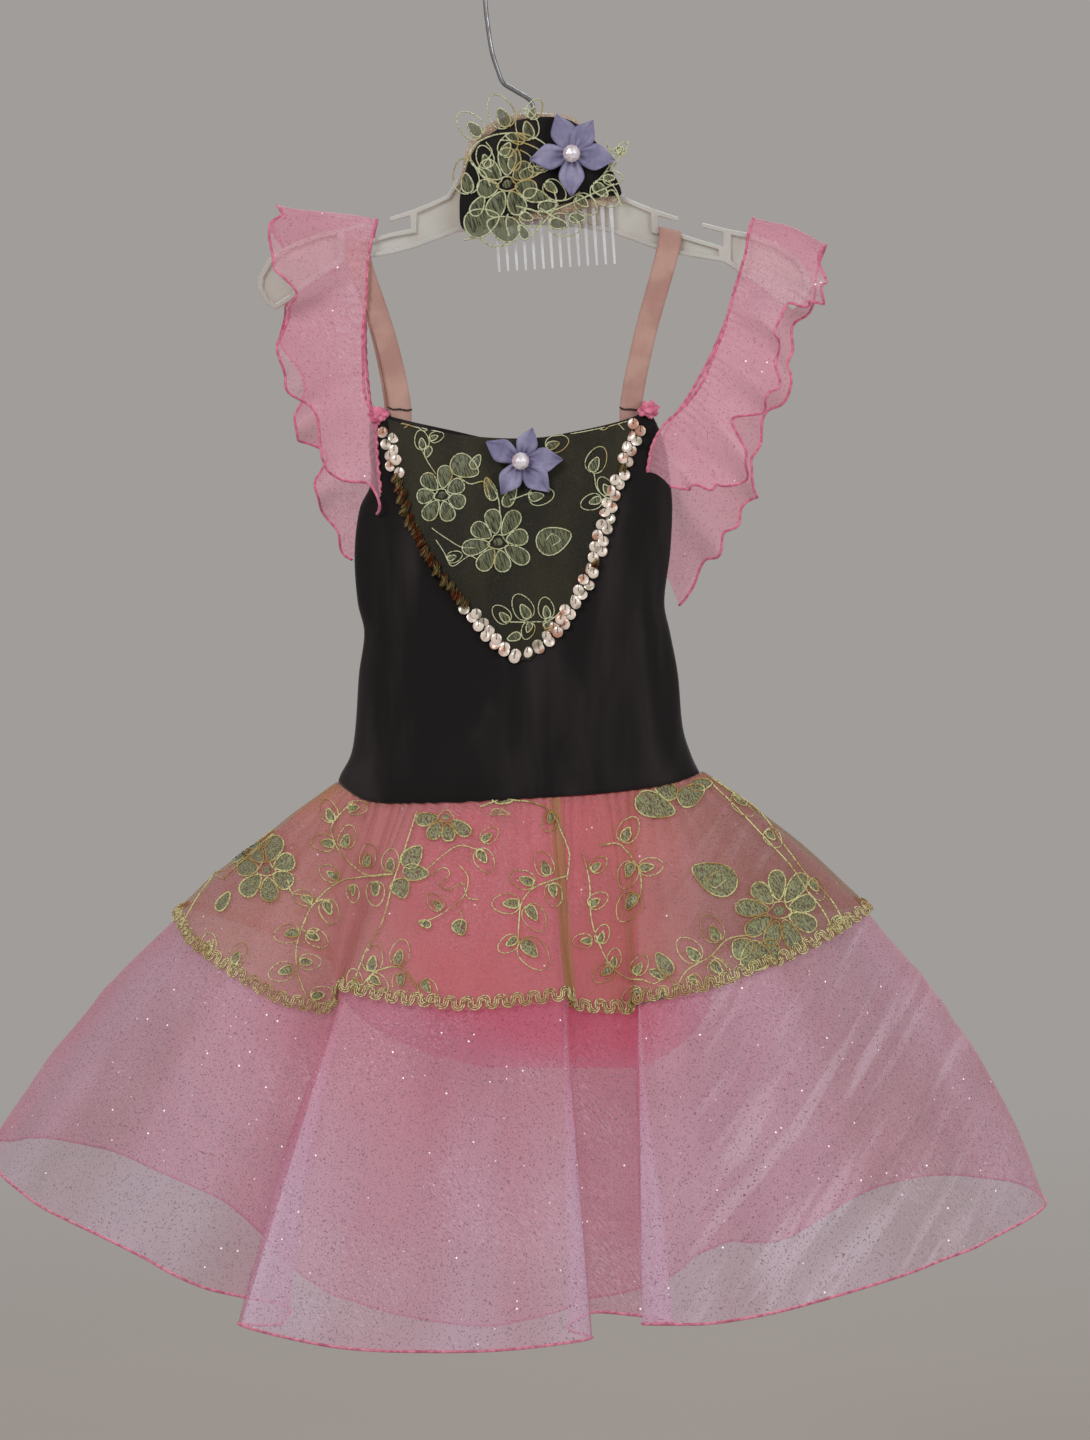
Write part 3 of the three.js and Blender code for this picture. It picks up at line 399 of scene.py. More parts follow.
f = steel = Finish("drawn_wire", tone(150, 152, 156), 0.3, Metallic=1.0)
drawn = f.noise(120.0, 5.0)
f.mottle(drawn, 0.4, 0.8, tone(160, 162, 166), tone(112, 110, 110))
f.feed(Roughness=f.steps(drawn, 0.3, 0.7, 0.22, 0.42))

f = milky = Finish("milky_plastic", tone(206, 202, 196), 0.32, Transmission_Weight=0.25,
                   Subsurface_Weight=0.25, IOR=1.49)
flow = f.noise(18.0, 4.0)
f.mottle(flow, 0.3, 0.7, tone(198, 194, 188), tone(216, 213, 208))
f.feed(Roughness=f.steps(flow, 0.3, 0.7, 0.28, 0.42))

f = clear = Finish("clear_plastic", tone(232, 234, 238), 0.12, IOR=1.49)
swirl = f.noise(70.0, 3.0)
f.mottle(swirl, 0.3, 0.7, tone(224, 226, 230), tone(244, 246, 250))
f.feed(Alpha=f.steps(swirl, 0.2, 0.8, 0.38, 0.50), Roughness=f.steps(swirl, 0.3, 0.7, 0.08, 0.2))
print("plain finishes:", len(bpy.data.materials), "materials so far")

# %% [markdown]
# The trimmings: pale gold cord with a twist, green gold satin stitch with fine slanted threads, gimp
# braid, champagne cup sequins, pearl and lavender organza. The satin is darker on the insert and the
# headpiece, over velvet, than on the peplum. Pale patches on the cords and the satin are painted
# highlights.

# %% Finishes of the trimmings
f = cord_gold = Finish("gold_cord", tone(206, 194, 138), 0.42, Metallic=0.1)
ply = f.noise(900.0)
# The palest tone is a painted highlight.
bright = f.blend(f.steps(f.noise(48.0), 0.42, 0.62), tone(224, 222, 160), tone(178, 138, 78))
f.mottle(ply, 0.32, 0.55, tone(132, 116, 62), bright)
f.bump(ply, 0.6, 0.0006)

f = cord_green = Finish("green_cord", tone(186, 190, 142), 0.4, Metallic=0.1)
ply = f.noise(700.0, 1.0)
# The palest tone is a painted highlight.
bright = f.blend(f.steps(f.noise(60.0), 0.50, 0.68), tone(206, 210, 172), tone(186, 164, 104))
f.mottle(ply, 0.30, 0.50, tone(124, 128, 88), bright)
f.bump(ply, 0.5, 0.0005)

f = satin_stitch = Finish("satin_stitch", tone(128, 132, 84), 0.45, Sheen_Weight=0.3)
stitched = f.streaks(0.3, (1500, 1500, 150))
green = f.blend(f.steps(stitched, 0.38, 0.60), tone(72, 76, 48), tone(144, 150, 106))
# Pale patches are painted highlights.
green = f.blend(f.steps(f.noise(110.0), 0.56, 0.84), green, tone(160, 170, 130))
over_velvet = f.steps(f.xyz()[2], -0.45, -0.44, 0.0, 0.55)
f.feed(Base_Color=f.blend(over_velvet, green, tone(40, 44, 26)),
       Alpha=f.steps(stitched, 0.36, 0.54, 0.55, 0.95))
f.bump(stitched, 0.5, 0.0006)

f = braid_gold = Finish("gimp_braid", tone(196, 180, 122), 0.45, Metallic=0.1)
wound = f.noise(700.0)
bright = f.blend(f.steps(wound, 0.32, 0.6), tone(122, 100, 54), tone(224, 214, 158))
f.feed(Base_Color=f.blend(f.steps(f.noise(34.0), 0.46, 0.66, 0.0, 0.6), bright, tone(164, 124, 72)))
f.bump(wound, 0.5, 0.0005)

f = sequin = Finish("champagne_sequin", tone(228, 214, 202), 0.25, Metallic=0.1, Coat_Weight=0.6,
                    Coat_Roughness=0.1)
tint = f.noise(130.0, 1.0)
pinkish = f.blend(f.steps(tint, 0.54, 0.66), tone(232, 218, 204), tone(194, 144, 122))
f.mottle(tint, 0.42, 0.34, pinkish, tone(176, 166, 148))

f = copper = Finish("copper_sequin", tone(150, 90, 56), 0.3, Metallic=0.5)
f.mottle(f.noise(140.0), 0.42, 0.62, tone(124, 68, 40), tone(150, 134, 88))

f = lavender = Finish("lavender_organza", tone(132, 126, 178), 0.6, Sheen_Weight=0.5,
                      Sheen_Tint=tone(200, 196, 240))
fibre = f.noise(420.0)
f.mottle(f.noise(70.0), 0.35, 0.7, tone(118, 114, 150), tone(156, 152, 184))
f.feed(Alpha=f.steps(fibre, 0.3, 0.7, 0.84, 0.96))
f.bump(fibre, 0.25, 0.0005)

f = pearl = Finish("faceted_pearl", tone(226, 216, 222), 0.14, Metallic=0.2, Coat_Weight=0.8)
f.mottle(f.noise(200.0), 0.3, 0.7, tone(206, 190, 200), tone(244, 240, 246))

f = thread = Finish("black_thread", tone(22, 20, 22), 0.7)
f.feed(Base_Color=f.blend(f.noise(1500.0, 1.0), tone(14, 12, 14), tone(44, 40, 42)))

f = nude_thread = Finish("nude_thread", tone(150, 100, 84), 0.7)
f.feed(Base_Color=f.blend(f.noise(900.0, 1.0), tone(122, 76, 62), tone(176, 124, 106)))
print("finishes:", len(bpy.data.materials))

# %% [markdown]
# Smooth curves through short tables place the cloth, as the pattern maker's measures would. The same
# tables shape the solids, so each cloth lies on its solid. Sizes in the tables are millimetres, and
# down is the distance below the hook.

# %% Helpers for curves and tables
def table(columns, rows):
    return [dict(zip(columns.split(), row)) for row in rows]


def through(rows, at, to):
    """A smooth function through the table's values of `to` at its rising values of `at`."""
    xs = [row[at] for row in rows]
    ys = [row[to] for row in rows]
    last = len(xs) - 1

    def slope(k):
        before, after = max(0, k - 1), min(last, k + 1)
        return (ys[after] - ys[before]) / (xs[after] - xs[before])

    def value(x):
        if x <= xs[0]:
            return ys[0]
        if x >= xs[last]:
            return ys[last]
        k = 0
        while xs[k + 1] < x:
            k += 1
        span = xs[k + 1] - xs[k]
        t = (x - xs[k]) / span
        rise = t * t * (3 - 2 * t)
        return (ys[k] + (ys[k + 1] - ys[k]) * rise + slope(k) * span * t * (1 - t) ** 2
                - slope(k + 1) * span * t * t * (1 - t))

    return value


def through_all(rows, at, names):
    return [through(rows, at, to) for to in names.split()]


def middle_and_half(left, right):
    return (left + right) / 2, (right - left) / 2


def run_along(line):
    """How far along a line each of its points lies."""
    return np.concatenate([[0], np.cumsum(np.linalg.norm(np.diff(line, axis=0), axis=1))])


def smooth_curve(points, shares, closed=False):
    """Points of the curve through the given points, at shares of the way along it."""
    points = np.asarray(points, float)
    if closed:
        ring = np.concatenate([points[-1:], points, points[:2]])
        place = (np.asarray(shares) % 1) * len(points)
    else:
        ring = np.concatenate([2 * points[:1] - points[1:2], points, 2 * points[-1:] - points[-2:-1]])
        place = np.clip(shares, 0, 1) * (len(points) - 1)
    k = np.minimum(np.floor(place).astype(int), len(ring) - 4)
    w = (place - k)[:, None]
    p = [ring[k + step] for step in range(4)]
    d = [np.maximum(np.linalg.norm(b - a, axis=1, keepdims=True), 1e-9) ** 0.5
         for a, b in zip(p, p[1:])]
    start = ((p[1] - p[0]) / d[0] - (p[2] - p[0]) / (d[0] + d[1]) + (p[2] - p[1]) / d[1]) * d[1]
    end = ((p[2] - p[1]) / d[1] - (p[3] - p[1]) / (d[1] + d[2]) + (p[3] - p[2]) / d[2]) * d[1]
    return (p[1] + start * w + (3 * (p[2] - p[1]) - 2 * start - end) * w ** 2
            + (2 * (p[1] - p[2]) + start + end) * w ** 3)


# %% [markdown]
# Cloth starts as Blender's grid, whose points are then laid on a table of places. The grid keeps its
# own UV map, in metres of flat cloth, so weave and net follow the folds. A tube of cloth is the same
# grid with its two sides joined.

# %% Helpers for pieces
def piece(name, bm, look, replaces=(), smooth=True):
    """The finished object of a bmesh, riding on the costume and standing for the nodes it replaces."""
    mesh = bpy.data.meshes.new(name)
    bm.to_mesh(mesh)
    bm.free()
    mesh.materials.append(look.material)
    mesh.polygons.foreach_set("use_smooth", [smooth] * len(mesh.polygons))
    made = placed(name, mesh)
    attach(made, "root")
    if replaces:
        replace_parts(made, *replaces)
    print(f"{name}: {len(mesh.polygons)} faces")
    return made


def thicken(made, name, thickness):
    wall = made.modifiers.new(name, "SOLIDIFY")
    wall.thickness, wall.offset = thickness * MM, 0


def normals_of(places, closed=False):
    """The way out at each point of a table of places whose rows run down and columns across."""
    down = np.gradient(places, axis=0)
    if closed:
        across = np.roll(places, -1, axis=1) - np.roll(places, 1, axis=1)
    else:
        across = np.gradient(places, axis=1)
    out = np.cross(across, -down)
    return out / np.maximum(np.linalg.norm(out, axis=2, keepdims=True), 1e-12)


def cloth(places, size, closed=False):
    """A grid of cloth on a table of places, in metres; size is the width and length of its UV map."""
    rows, columns = len(places) - 1, len(places[0]) - (0 if closed else 1)
    bm = bmesh.new()
    flat = bm.loops.layers.uv.new("cloth")
    bmesh.ops.create_grid(bm, x_segments=columns, y_segments=rows, size=0.5)
    spots = {vert: (vert.co.x + 0.5, 0.5 - vert.co.y) for vert in bm.verts}
    for face in bm.faces:
        for loop in face.loops:
            across, down = spots[loop.vert]
            loop[flat].uv = (across * size[0], -down * size[1])
    for vert, (across, down) in spots.items():
        j = round(across * columns)
        vert.co = places[round(down * rows)][j % columns if closed else j]
    if closed:
        bmesh.ops.remove_doubles(bm, verts=bm.verts, dist=1e-7)
    return bm


def cords(name, lines, radius, look, closed=False, sides=1, replaces=()):
    """Round cords along lines of points, made as curves with a bevel and then as one mesh."""
    data = bpy.data.curves.new(name, "CURVE")
    data.dimensions = "3D"
    data.bevel_depth = radius
    data.bevel_resolution = sides
    data.use_fill_caps = True
    for line in lines:
        spline = data.splines.new("POLY")
        spline.points.add(len(line) - 1)
        spline.points.foreach_set("co", [c for point in line for c in (*point, 1.0)])
        spline.use_cyclic_u = closed
    curve = placed(name, data)
    bpy.context.view_layer.update()
    mesh = bpy.data.meshes.new_from_object(curve.evaluated_get(bpy.context.evaluated_depsgraph_get()))
    bpy.data.objects.remove(curve)
    bm = bmesh.new()
    bm.from_mesh(mesh)
    bpy.data.meshes.remove(mesh)
    return piece(name, bm, look, replaces)


def repeated(template, moves):
    """One bmesh that holds the template once for each move."""
    shape = bpy.data.meshes.new("template")
    template.to_mesh(shape)
    template.free()
    bm = bmesh.new()
    for move in moves:
        shape.transform(move)
        bm.from_mesh(shape)
        shape.transform(move.inverted())
    bpy.data.meshes.remove(shape)
    return bm


# %% [markdown]
# Hook and hanger. The wire hook is drawn again along the line of its solid, rounder and with a blunt
# end. The hanger's moulding is right as it is, so a merged copy only gets its edges rounded.

# %% Hook and hanger
HOOK_RADIUS, HOOK_DOWN, WIRE = 28, 26.7, 2.6
bend = [(0, 124), (0, 112), (0, 101), (-1.7, 94.5), (-10, 89), (-17.6, 84), (-20.6, 77), (-23.8, 67),
        (-26, 54), (-27.6, 40)]
bend += [(HOOK_RADIUS * math.cos(a), HOOK_DOWN - HOOK_RADIUS * math.sin(a))
         for a in (math.pi - (math.pi + 0.35) * k / 12 for k in range(13))]
wire_line = smooth_curve([(x * MM, 0, -down * MM) for x, down in bend], np.linspace(0, 1, 160))
cords("wire_hook", [wire_line], WIRE / 2 * MM, steel, sides=4, replaces=["hook"])


def rounded_copy(name, node, width, look):
    """A merged copy of a node with its sharp edges rounded."""
    bm = bmesh.new()
    bm.from_mesh(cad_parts[node].data)
    bmesh.ops.remove_doubles(bm, verts=bm.verts, dist=1e-6)
    bmesh.ops.dissolve_limit(bm, angle_limit=math.radians(1), verts=bm.verts, edges=bm.edges)
    sharp = [edge for edge in bm.edges if edge.calc_face_angle(0) > math.radians(50)]
    bmesh.ops.bevel(bm, geom=sharp, offset=width, offset_type="OFFSET", affect="EDGES", segments=2,
                    profile=0.5, material=-1)
    piece(name, bm, look, [node], smooth=False)


rounded_copy("moulded_hanger", "hanger", 0.5 * MM, milky)
rounded_copy("hair_comb", "comb", 0.3 * MM, clear)

# %% [markdown]
# The bodice hangs empty, so it is a flat ring that is fullest in its middle. Its outline from the front,
# the neckline and the waist seam are tables. Its folds are soft ridges between two points each. The
# velvet gets its thickness from a Solidify modifier.

# %% Bodice
WAIST = {"left": -113, "right": 97, "front": 33, "back": 30}
BODICE_LEVELS = table("down left right front back", [
    (262, -92, 62, 13, 13), (272, -93.4, 67, 14, 13), (290, -94.5, 74.8, 16, 14), (314, -94, 78.5, 19, 15),
    (327, -100, 79.5, 20, 16), (353, -103.2, 78.3, 22, 18), (382, -101.5, 75, 23, 19),
    (399, -97.8, 78.3, 24, 20), (423, -100.9, 82.9, 25, 21), (455, -103.2, 86, 28, 25),
    (471, -106, 91, 30.5, 27.5), (485, -113, 97, 33, 30), (500, -113, 97, 33, 30)])
NECKLINE = table("x down", [(-94, 270.5), (-78, 275.5), (-44, 283), (-28, 286.5), (-10, 288),
                            (20, 283.6), (53, 276), (67, 269)])
WAISTLINE = table("x down", [(-113, 488), (-97, 496), (-65, 496.5), (0, 493), (46, 490), (78, 486.5),
                             (97, 482)])
BODICE_FOLDS = table("x0 down0 x1 down1 width height", [
    (-12, 420, -46, 492, 9, 2.6), (-6, 424, 2, 492, 7, 2.0), (8, 410, 44, 488, 10, 2.4),
    (-70, 350, -78, 486, 9, 2.2), (70, 300, 44, 400, 8, 2.6), (62, 390, 70, 484, 8, 2.0),
    (-88, 300, -80, 400, 6, 1.6), (-30, 290, -34, 380, 12, 1.2)])
VELVET_FOLDS = BODICE_FOLDS + table("x0 down0 x1 down1 width height", [
    (-58, 392, -56, 490, 4, 2.0), (-86, 330, -92, 480, 4, 2.2), (54, 330, 58, 470, 4, 2.2),
    (74, 330, 70, 420, 3, 1.9), (22, 424, 24, 490, 4, 2.2), (-28, 430, -20, 492, 4, 2.0),
    (60, 288, 52, 340, 4, 1.4), (84, 440, 80, 484, 4, 1.8), (-98, 420, -100, 486, 4, 1.6),
    (64, 360, 66, 486, 3, -1.6), (-68, 400, -66, 490, 3, -1.5), (34, 430, 36, 488, 3, -1.4)])
left_at, right_at, front_at, back_at = through_all(BODICE_LEVELS, "down", "left right front back")
neckline_at = through(NECKLINE, "x", "down")
waistline_at = through(WAISTLINE, "x", "down")


def ridges(folds, x, down):
    """The height of soft ridges that run from one point to another, fading at both ends."""
    height = 0
    for fold in folds:
        dx, dd = fold["x1"] - fold["x0"], fold["down1"] - fold["down0"]
        t = ((x - fold["x0"]) * dx + (down - fold["down0"]) * dd) / (dx * dx + dd * dd)
        along = min(1, max(0, t))
        away = math.hypot(x - fold["x0"] - along * dx, down - fold["down0"] - along * dd)
        fade = min(1, max(0, (1.3 - abs(2 * t - 1)) / 0.7))
        height += fold["height"] * fade * fade * (3 - 2 * fade) * math.exp(-(away / fold["width"]) ** 2)
    return height


def fullness(share):
    return max(0, 1 - abs(share) ** 2.4) ** 0.6


def bodice_depth(x, down, side, folds):
    middle, half = middle_and_half(left_at(down), right_at(down))
    full = fullness((x - middle) / half)
    relief = ridges(folds, x if side < 0 else -16 - x, down) * min(1, 2 * full)
    return side * ((front_at(down) if side < 0 else back_at(down)) * full + relief)


def on_bodice(x, down, out):
    """A place on the bodice's front in metres, so far out in mm."""
    def depth(x, down):
        return bodice_depth(x, down, -1, BODICE_FOLDS)

    way = Vector((depth(x + 1, down) - depth(x - 1, down), -2, depth(x, down - 1) - depth(x, down + 1)))
    return (Vector((x, depth(x, down), -down)) + way.normalized() * out) * MM


BODICE_COLUMNS, BODICE_ROWS, BACK_DROP = 176, 70, 5
BODICE_FLAT = (0.40, 0.215)
CASING, STITCH_ROW = 9.5, 8.0


def bodice_place(angle, share):
    side = -1 if 0 < angle % (2 * math.pi) < math.pi else 1

    def across(down):
        middle, half = middle_and_half(left_at(down), right_at(down))
        return middle - half * math.cos(angle)

    top = neckline_at(across(neckline_at(across(280)))) + BACK_DROP * max(0, -math.sin(angle))
    foot = waistline_at(across(490)) - 0.8
    down = top + (foot - top) * share
    x = across(down)
    y = bodice_depth(x, down, side, VELVET_FOLDS)
    from_top = down - top
    casing = (0.5 * math.exp(-((from_top - 4) / 3.0) ** 2)
              - 0.5 * math.exp(-((from_top - CASING) / 1.4) ** 2))
    pucker = 0.35 * math.sin(x * 1.3 + 2 * noise.noise((x * 0.2, down * 0.2, side))) * math.exp(
        -((from_top - CASING) / 7) ** 2)
    return x, y + side * (casing + pucker) * min(1, 2 * fullness(-math.cos(angle))), -down


bodice_places = np.array([[bodice_place(2 * math.pi * j / BODICE_COLUMNS, i / BODICE_ROWS)
                           for j in range(BODICE_COLUMNS)] for i in range(BODICE_ROWS + 1)]) * MM
bodice = piece("velvet_bodice", cloth(bodice_places, BODICE_FLAT, closed=True), velvet,
               ["bodice_front", "bodice_back"])
thicken(bodice, "wall", 1.0)

# %% [markdown]
# The V insert lies on the bodice's front, so each of its points is a bodice point moved out along the
# way out there. Its own sag at the neckline is kept.

# %% Insert
INSERT_LEVELS = table("down left right", [
    (276, -83, 58), (292, -81.5, 54.5), (308, -78.5, 49), (326, -74.5, 42.5), (345, -66.3, 38.3),
    (366, -53.5, 31), (386, -37.5, 20), (401, -25, 9), (413.5, -11, -2)])
INSERT_TOP, INSERT_FOOT, INSERT_SAG, INSERT_OUT, INSERT_CELLS = 276, 413.5, 11, 2.1, 60
insert_left, insert_right = through_all(INSERT_LEVELS, "down", "left right")


def insert_place(share, i):
    down = INSERT_TOP + (INSERT_FOOT - INSERT_TOP) * i
    x = insert_left(down) + (insert_right(down) - insert_left(down)) * share
    sag = INSERT_SAG * 4 * share * (1 - share) * (1 - i) ** 2
    relief = (0.25 * noise.noise((x * 0.06, down * 0.03, 2))
              + 0.3 * math.exp(-((down + sag - INSERT_TOP) / 9) ** 2))
    return on_bodice(x, down + sag, INSERT_OUT + relief)


shares = [k / INSERT_CELLS for k in range(INSERT_CELLS + 1)]
insert_places = np.array([[insert_place(share, i) for share in shares] for i in shares])
insert = piece("net_insert", cloth(insert_places, (0.145, 0.138)), insert_net, ["plastron"])

# %% [markdown]
# The skirt is one ring of ribs from the waist seam to the hem. Where a rib's hem lies back past its
# neighbour's, the cloth folds over in an S. Each rib is a bowed line, and the ring through all ribs at
# one level is a smooth closed curve. Soft flutes, creases and the gathers are added along the way out.
# Light passes through sheer cloth and scatters, so the layers cast no shadow on one another.

# %% Skirt
SKIRT_RIBS = table("side waist hem_x hem_y hem_down lift reach", [
    (0, -113, -321, 12, 702, 30, 0.400), (-1, -112, -308, -28, 711, 30, 0.410),
    (-1, -110, -285, -62, 721, 30, 0.425), (-1, -106, -229, -98, 740, 28, 0.445),
    (-1, -98, -187, -105, 760, 24, 0.450), (-1, -88, -140, -88, 776, 18, 0.440),
    (-1, -77, -143, -112, 780, 18, 0.410), (-1, -66, -162, -138, 774, 18, 0.385),
    (-1, -50, -112, -155, 782, 18, 0.395), (-1, -28, -57, -160, 784, 18, 0.405),
    (-1, -8, -7, -152, 784, 18, 0.400), (-1, 5, 32, -130, 783, 18, 0.395),
    (-1, 14, 19, -106, 784, 16, 0.410), (-1, 23, 34, -88, 779, 14, 0.435),
    (-1, 36, 78, -80, 786, 16, 0.430), (-1, 48, 70, -90, 784, 18, 0.425),
    (-1, 58, 61, -102, 782, 20, 0.420), (-1, 69, 104, -116, 778, 24, 0.415),
    (-1, 80, 170, -104, 766, 32, 0.405), (-1, 89, 233, -72, 752, 42, 0.395),
    (-1, 95, 272, -38, 743, 50, 0.385), (0, 97, 301, 0, 732, 52, 0.380),
    (1, 94, 263, 45, 727, 40, 0.390), (1, 84, 208, 72, 738, 30, 0.400),
    (1, 70, 149, 58, 768, 20, 0.400), (1, 54, 112, 86, 777, 20, 0.400),
    (1, 38, 73, 64, 796, 16, 0.400), (1, 20, 33, 88, 812, 18, 0.395),
    (1, 0, -18, 64, 822, 14, 0.385), (1, -18, -57, 82, 824, 18, 0.390),
    (1, -38, -93, 62, 812, 16, 0.400), (1, -58, -136, 86, 800, 20, 0.405),
    (1, -77, -180, 66, 752, 22, 0.410), (1, -93, -235, 84, 728, 28, 0.410),
    (1, -105, -279, 58, 708, 30, 0.405), (1, -111, -310, 38, 703, 30, 0.400)])


def rib_line(rib):
    """The waist point, the point that bows the rib, and the hem point."""
    middle, half = middle_and_half(WAIST["left"], WAIST["right"])
    depth = WAIST["front"] if rib["side"] < 0 else WAIST["back"]
    y = rib["side"] * depth * fullness((rib["waist"] - middle) / half)
    waist = Vector((rib["waist"], y, -waistline_at(rib["waist"])))
    hem = Vector((rib["hem_x"], rib["hem_y"], -rib["hem_down"]))
    outwards = Vector((hem.x - waist.x, hem.y - waist.y, 0)).normalized()
    bow = (waist + hem) / 2 + outwards * rib["lift"] * 0.8 + Vector((0, 0, rib["lift"] * 0.6))
    return waist, bow, hem


rib_ends = [np.array(ends) * MM for ends in zip(*(rib_line(rib) for rib in SKIRT_RIBS))]
rib_reach = np.array([rib["reach"] for rib in SKIRT_RIBS + SKIRT_RIBS[:1]])


def skirt_ring(v, shares):
    waist, bow, hem = rib_ends
    return smooth_curve((1 - v) ** 2 * waist + 2 * v * (1 - v) * bow + v * v * hem, shares, closed=True)


SKIRT_CREASES = table("x0 down0 x1 down1 width height", [
    (150, 560, 100, 640, 5, 2.4), (165, 590, 95, 680, 5, 3.0), (190, 600, 120, 700, 6, 2.4),
    (205, 630, 150, 705, 5, 2.2), (240, 610, 205, 690, 6, 2.4), (225, 660, 160, 735, 6, 3.0),
    (255, 650, 222, 722, 5, 2.2), (95, 585, 78, 660, 5, 2.0), (-205, 640, -170, 740, 8, 1.8),
    (-230, 600, -250, 690, 8, 1.8), (-120, 640, -165, 740, 7, 1.6), (-60, 600, -66, 760, 9, 1.6),
    (0, 620, 14, 770, 7, 1.8), (30, 600, 36, 700, 6, 1.4), (-140, 620, -160, 700, 7, 1.6),
    (40, 700, 60, 770, 8, 1.4), (-100, 690, -80, 770, 8, 1.6), (-15, 618, -36, 784, 4, 2.6),
    (190, 700, 130, 760, 5, 2.0)])


GATHERS, FLUTES, LEVELS = 64, 41, 60


def skirt_relief(places, shares, v):
    """How far the cloth stands out of the smooth ring at one level: gathers, flutes and creases."""
    height = np.zeros(len(shares))
    for k, (place, share) in enumerate(zip(places / MM, shares)):
        x, y, down = place[0], place[1], -place[2]
        gather = 0.9 * (1 - v) ** 5 * math.sin(2 * math.pi * share * GATHERS
                                               + 3 * noise.noise((share * 40, 0, 1)))
        sway = noise.noise((share * 14, v * 0.8, 5))
        flute = 2.2 * v ** 1.5 * math.sin(2 * math.pi * (share * FLUTES + 1.4 * sway)) * (0.6 + sway)
        crumple = 2.0 * min(1, 3 * v) * noise.noise((x * 0.035, y * 0.035, down * 0.018))
        crease = ridges(SKIRT_CREASES, x if y < 0 else -10 - x, down)
        height[k] = (gather + flute + crumple + crease) * MM
    return height


def skirt_layer(columns, rows, reach_at, out_at):
    """A table of places round the skirt, down to a share of each rib, and so far out in mm."""
    shares = np.arange(columns) / columns
    reach = reach_at(shares)
    levels = np.linspace(0, 1, LEVELS + 1)
    smooth = np.array([skirt_ring(v, shares) for v in levels])
    smooth += normals_of(smooth, closed=True) * np.array(
        [skirt_relief(ring, shares, v) for ring, v in zip(smooth, levels)])[:, :, None]
    out = normals_of(smooth, closed=True)
    places = np.zeros((rows + 1, columns, 3))
    for i in range(rows + 1):
        v = reach * i / rows
        k = np.minimum((v * LEVELS).astype(int), LEVELS - 1)
        w = (v * LEVELS - k)[:, None]
        column = np.arange(columns)
        point = smooth[k, column] * (1 - w) + smooth[k + 1, column] * w
        way = out[k, column] * (1 - w) + out[k + 1, column] * w
        places[i] = point + way * (out_at(v) * MM)[:, None]
    return places


SKIRT_COLUMNS, SKIRT_ROWS, PEPLUM_ROWS, HEM_RADIUS = 540, 60, 26, 0.85
skirt_places = skirt_layer(SKIRT_COLUMNS, SKIRT_ROWS, np.ones_like, lambda v: 0 * v)
skirt = piece("organza_skirt", cloth(skirt_places, (1.9, 0.31), closed=True), skirt_organza,
              ["skirt_front", "skirt_back"])
skirt.visible_shadow = False
skirt_hem = cords("skirt_rolled_hem", [skirt_places[-1]], HEM_RADIUS * MM, rolled_hem,
                  closed=True)
print("skirt: waist and hem round", [round(float(run_along(np.concatenate([r, r[:1]]))[-1]), 3)
                                     for r in (skirt_places[0], skirt_places[-1])], "m")

# %% [markdown]
# The peplum is the skirt's own table moved out a little, so it follows every fold and never cuts
# through. Its hem carries gimp braid: three gold cords side by side that meander in round loops. Each
# lane is moved across the meander's own direction, so the three never cross.

# %% Peplum and braid
def reach_of(shares):
    place = np.asarray(shares) * len(SKIRT_RIBS)
    k = np.floor(place).astype(int) % len(SKIRT_RIBS)
    return rib_reach[k] * (1 - place % 1) + rib_reach[k + 1] * (place % 1)


def peplum_out(v):
    return 1.7 + 4 * v


peplum_places = skirt_layer(SKIRT_COLUMNS, PEPLUM_ROWS, reach_of, peplum_out)
peplum = piece("net_peplum", cloth(peplum_places, (1.1, 0.125), closed=True), peplum_net,
               ["peplum_front", "peplum_back"])
peplum.visible_shadow = False

BRAID_CORD, BRAID_LOOP, BRAID_SWING, BRAID_LANE, TURNS = 0.9, 9.6, 2.75, 1.25, 18
ring = peplum_places[-1]
ring_way = normals_of(peplum_places, closed=True)[-1]
up_rib = peplum_places[-2] - ring
up_rib /= np.linalg.norm(up_rib, axis=1, keepdims=True)
round_ring = run_along(np.concatenate([ring, ring[:1]]))
loops = round(round_ring[-1] / MM / BRAID_LOOP)
spots = np.arange(loops * TURNS) / (loops * TURNS) * round_ring[-1]


def along_ring(values):
    closed = np.concatenate([values, values[:1]])
    return np.stack([np.interp(spots, round_ring, closed[:, axis]) for axis in range(3)], axis=1)


turn = np.arange(len(spots)) * 2 * math.pi / TURNS
tangent = np.gradient(along_ring(ring), axis=0)
tangent /= np.linalg.norm(tangent, axis=1, keepdims=True)
forth = BRAID_LOOP / (2 * math.pi) - 1.6 * np.cos(2 * turn)
climb = BRAID_SWING * np.cos(turn)
pace = np.hypot(forth, climb)
braid_lines = []
for lane in (-BRAID_LANE, 0.0, BRAID_LANE):
    wave = (3.7 + BRAID_SWING * np.sin(turn) + lane * forth / pace) * MM
    lean = (-0.8 * np.sin(2 * turn) - lane * climb / pace) * MM
    rise = (1.0 + 0.25 * np.cos(2 * turn)) * MM
    braid_lines.append(along_ring(ring) + along_ring(up_rib) * wave[:, None] + tangent * lean[:, None]
                       + along_ring(ring_way) * rise[:, None])
gimp_braid = cords("gimp_braid", braid_lines, BRAID_CORD / 2 * MM, braid_gold,
                   closed=True, sides=0, replaces=["braid_front", "braid_back"])
print("braid:", loops, "loops round", round(round_ring[-1], 2), "m")

# %% [markdown]
# The brief under the skirt shows as the deep pink in the middle.

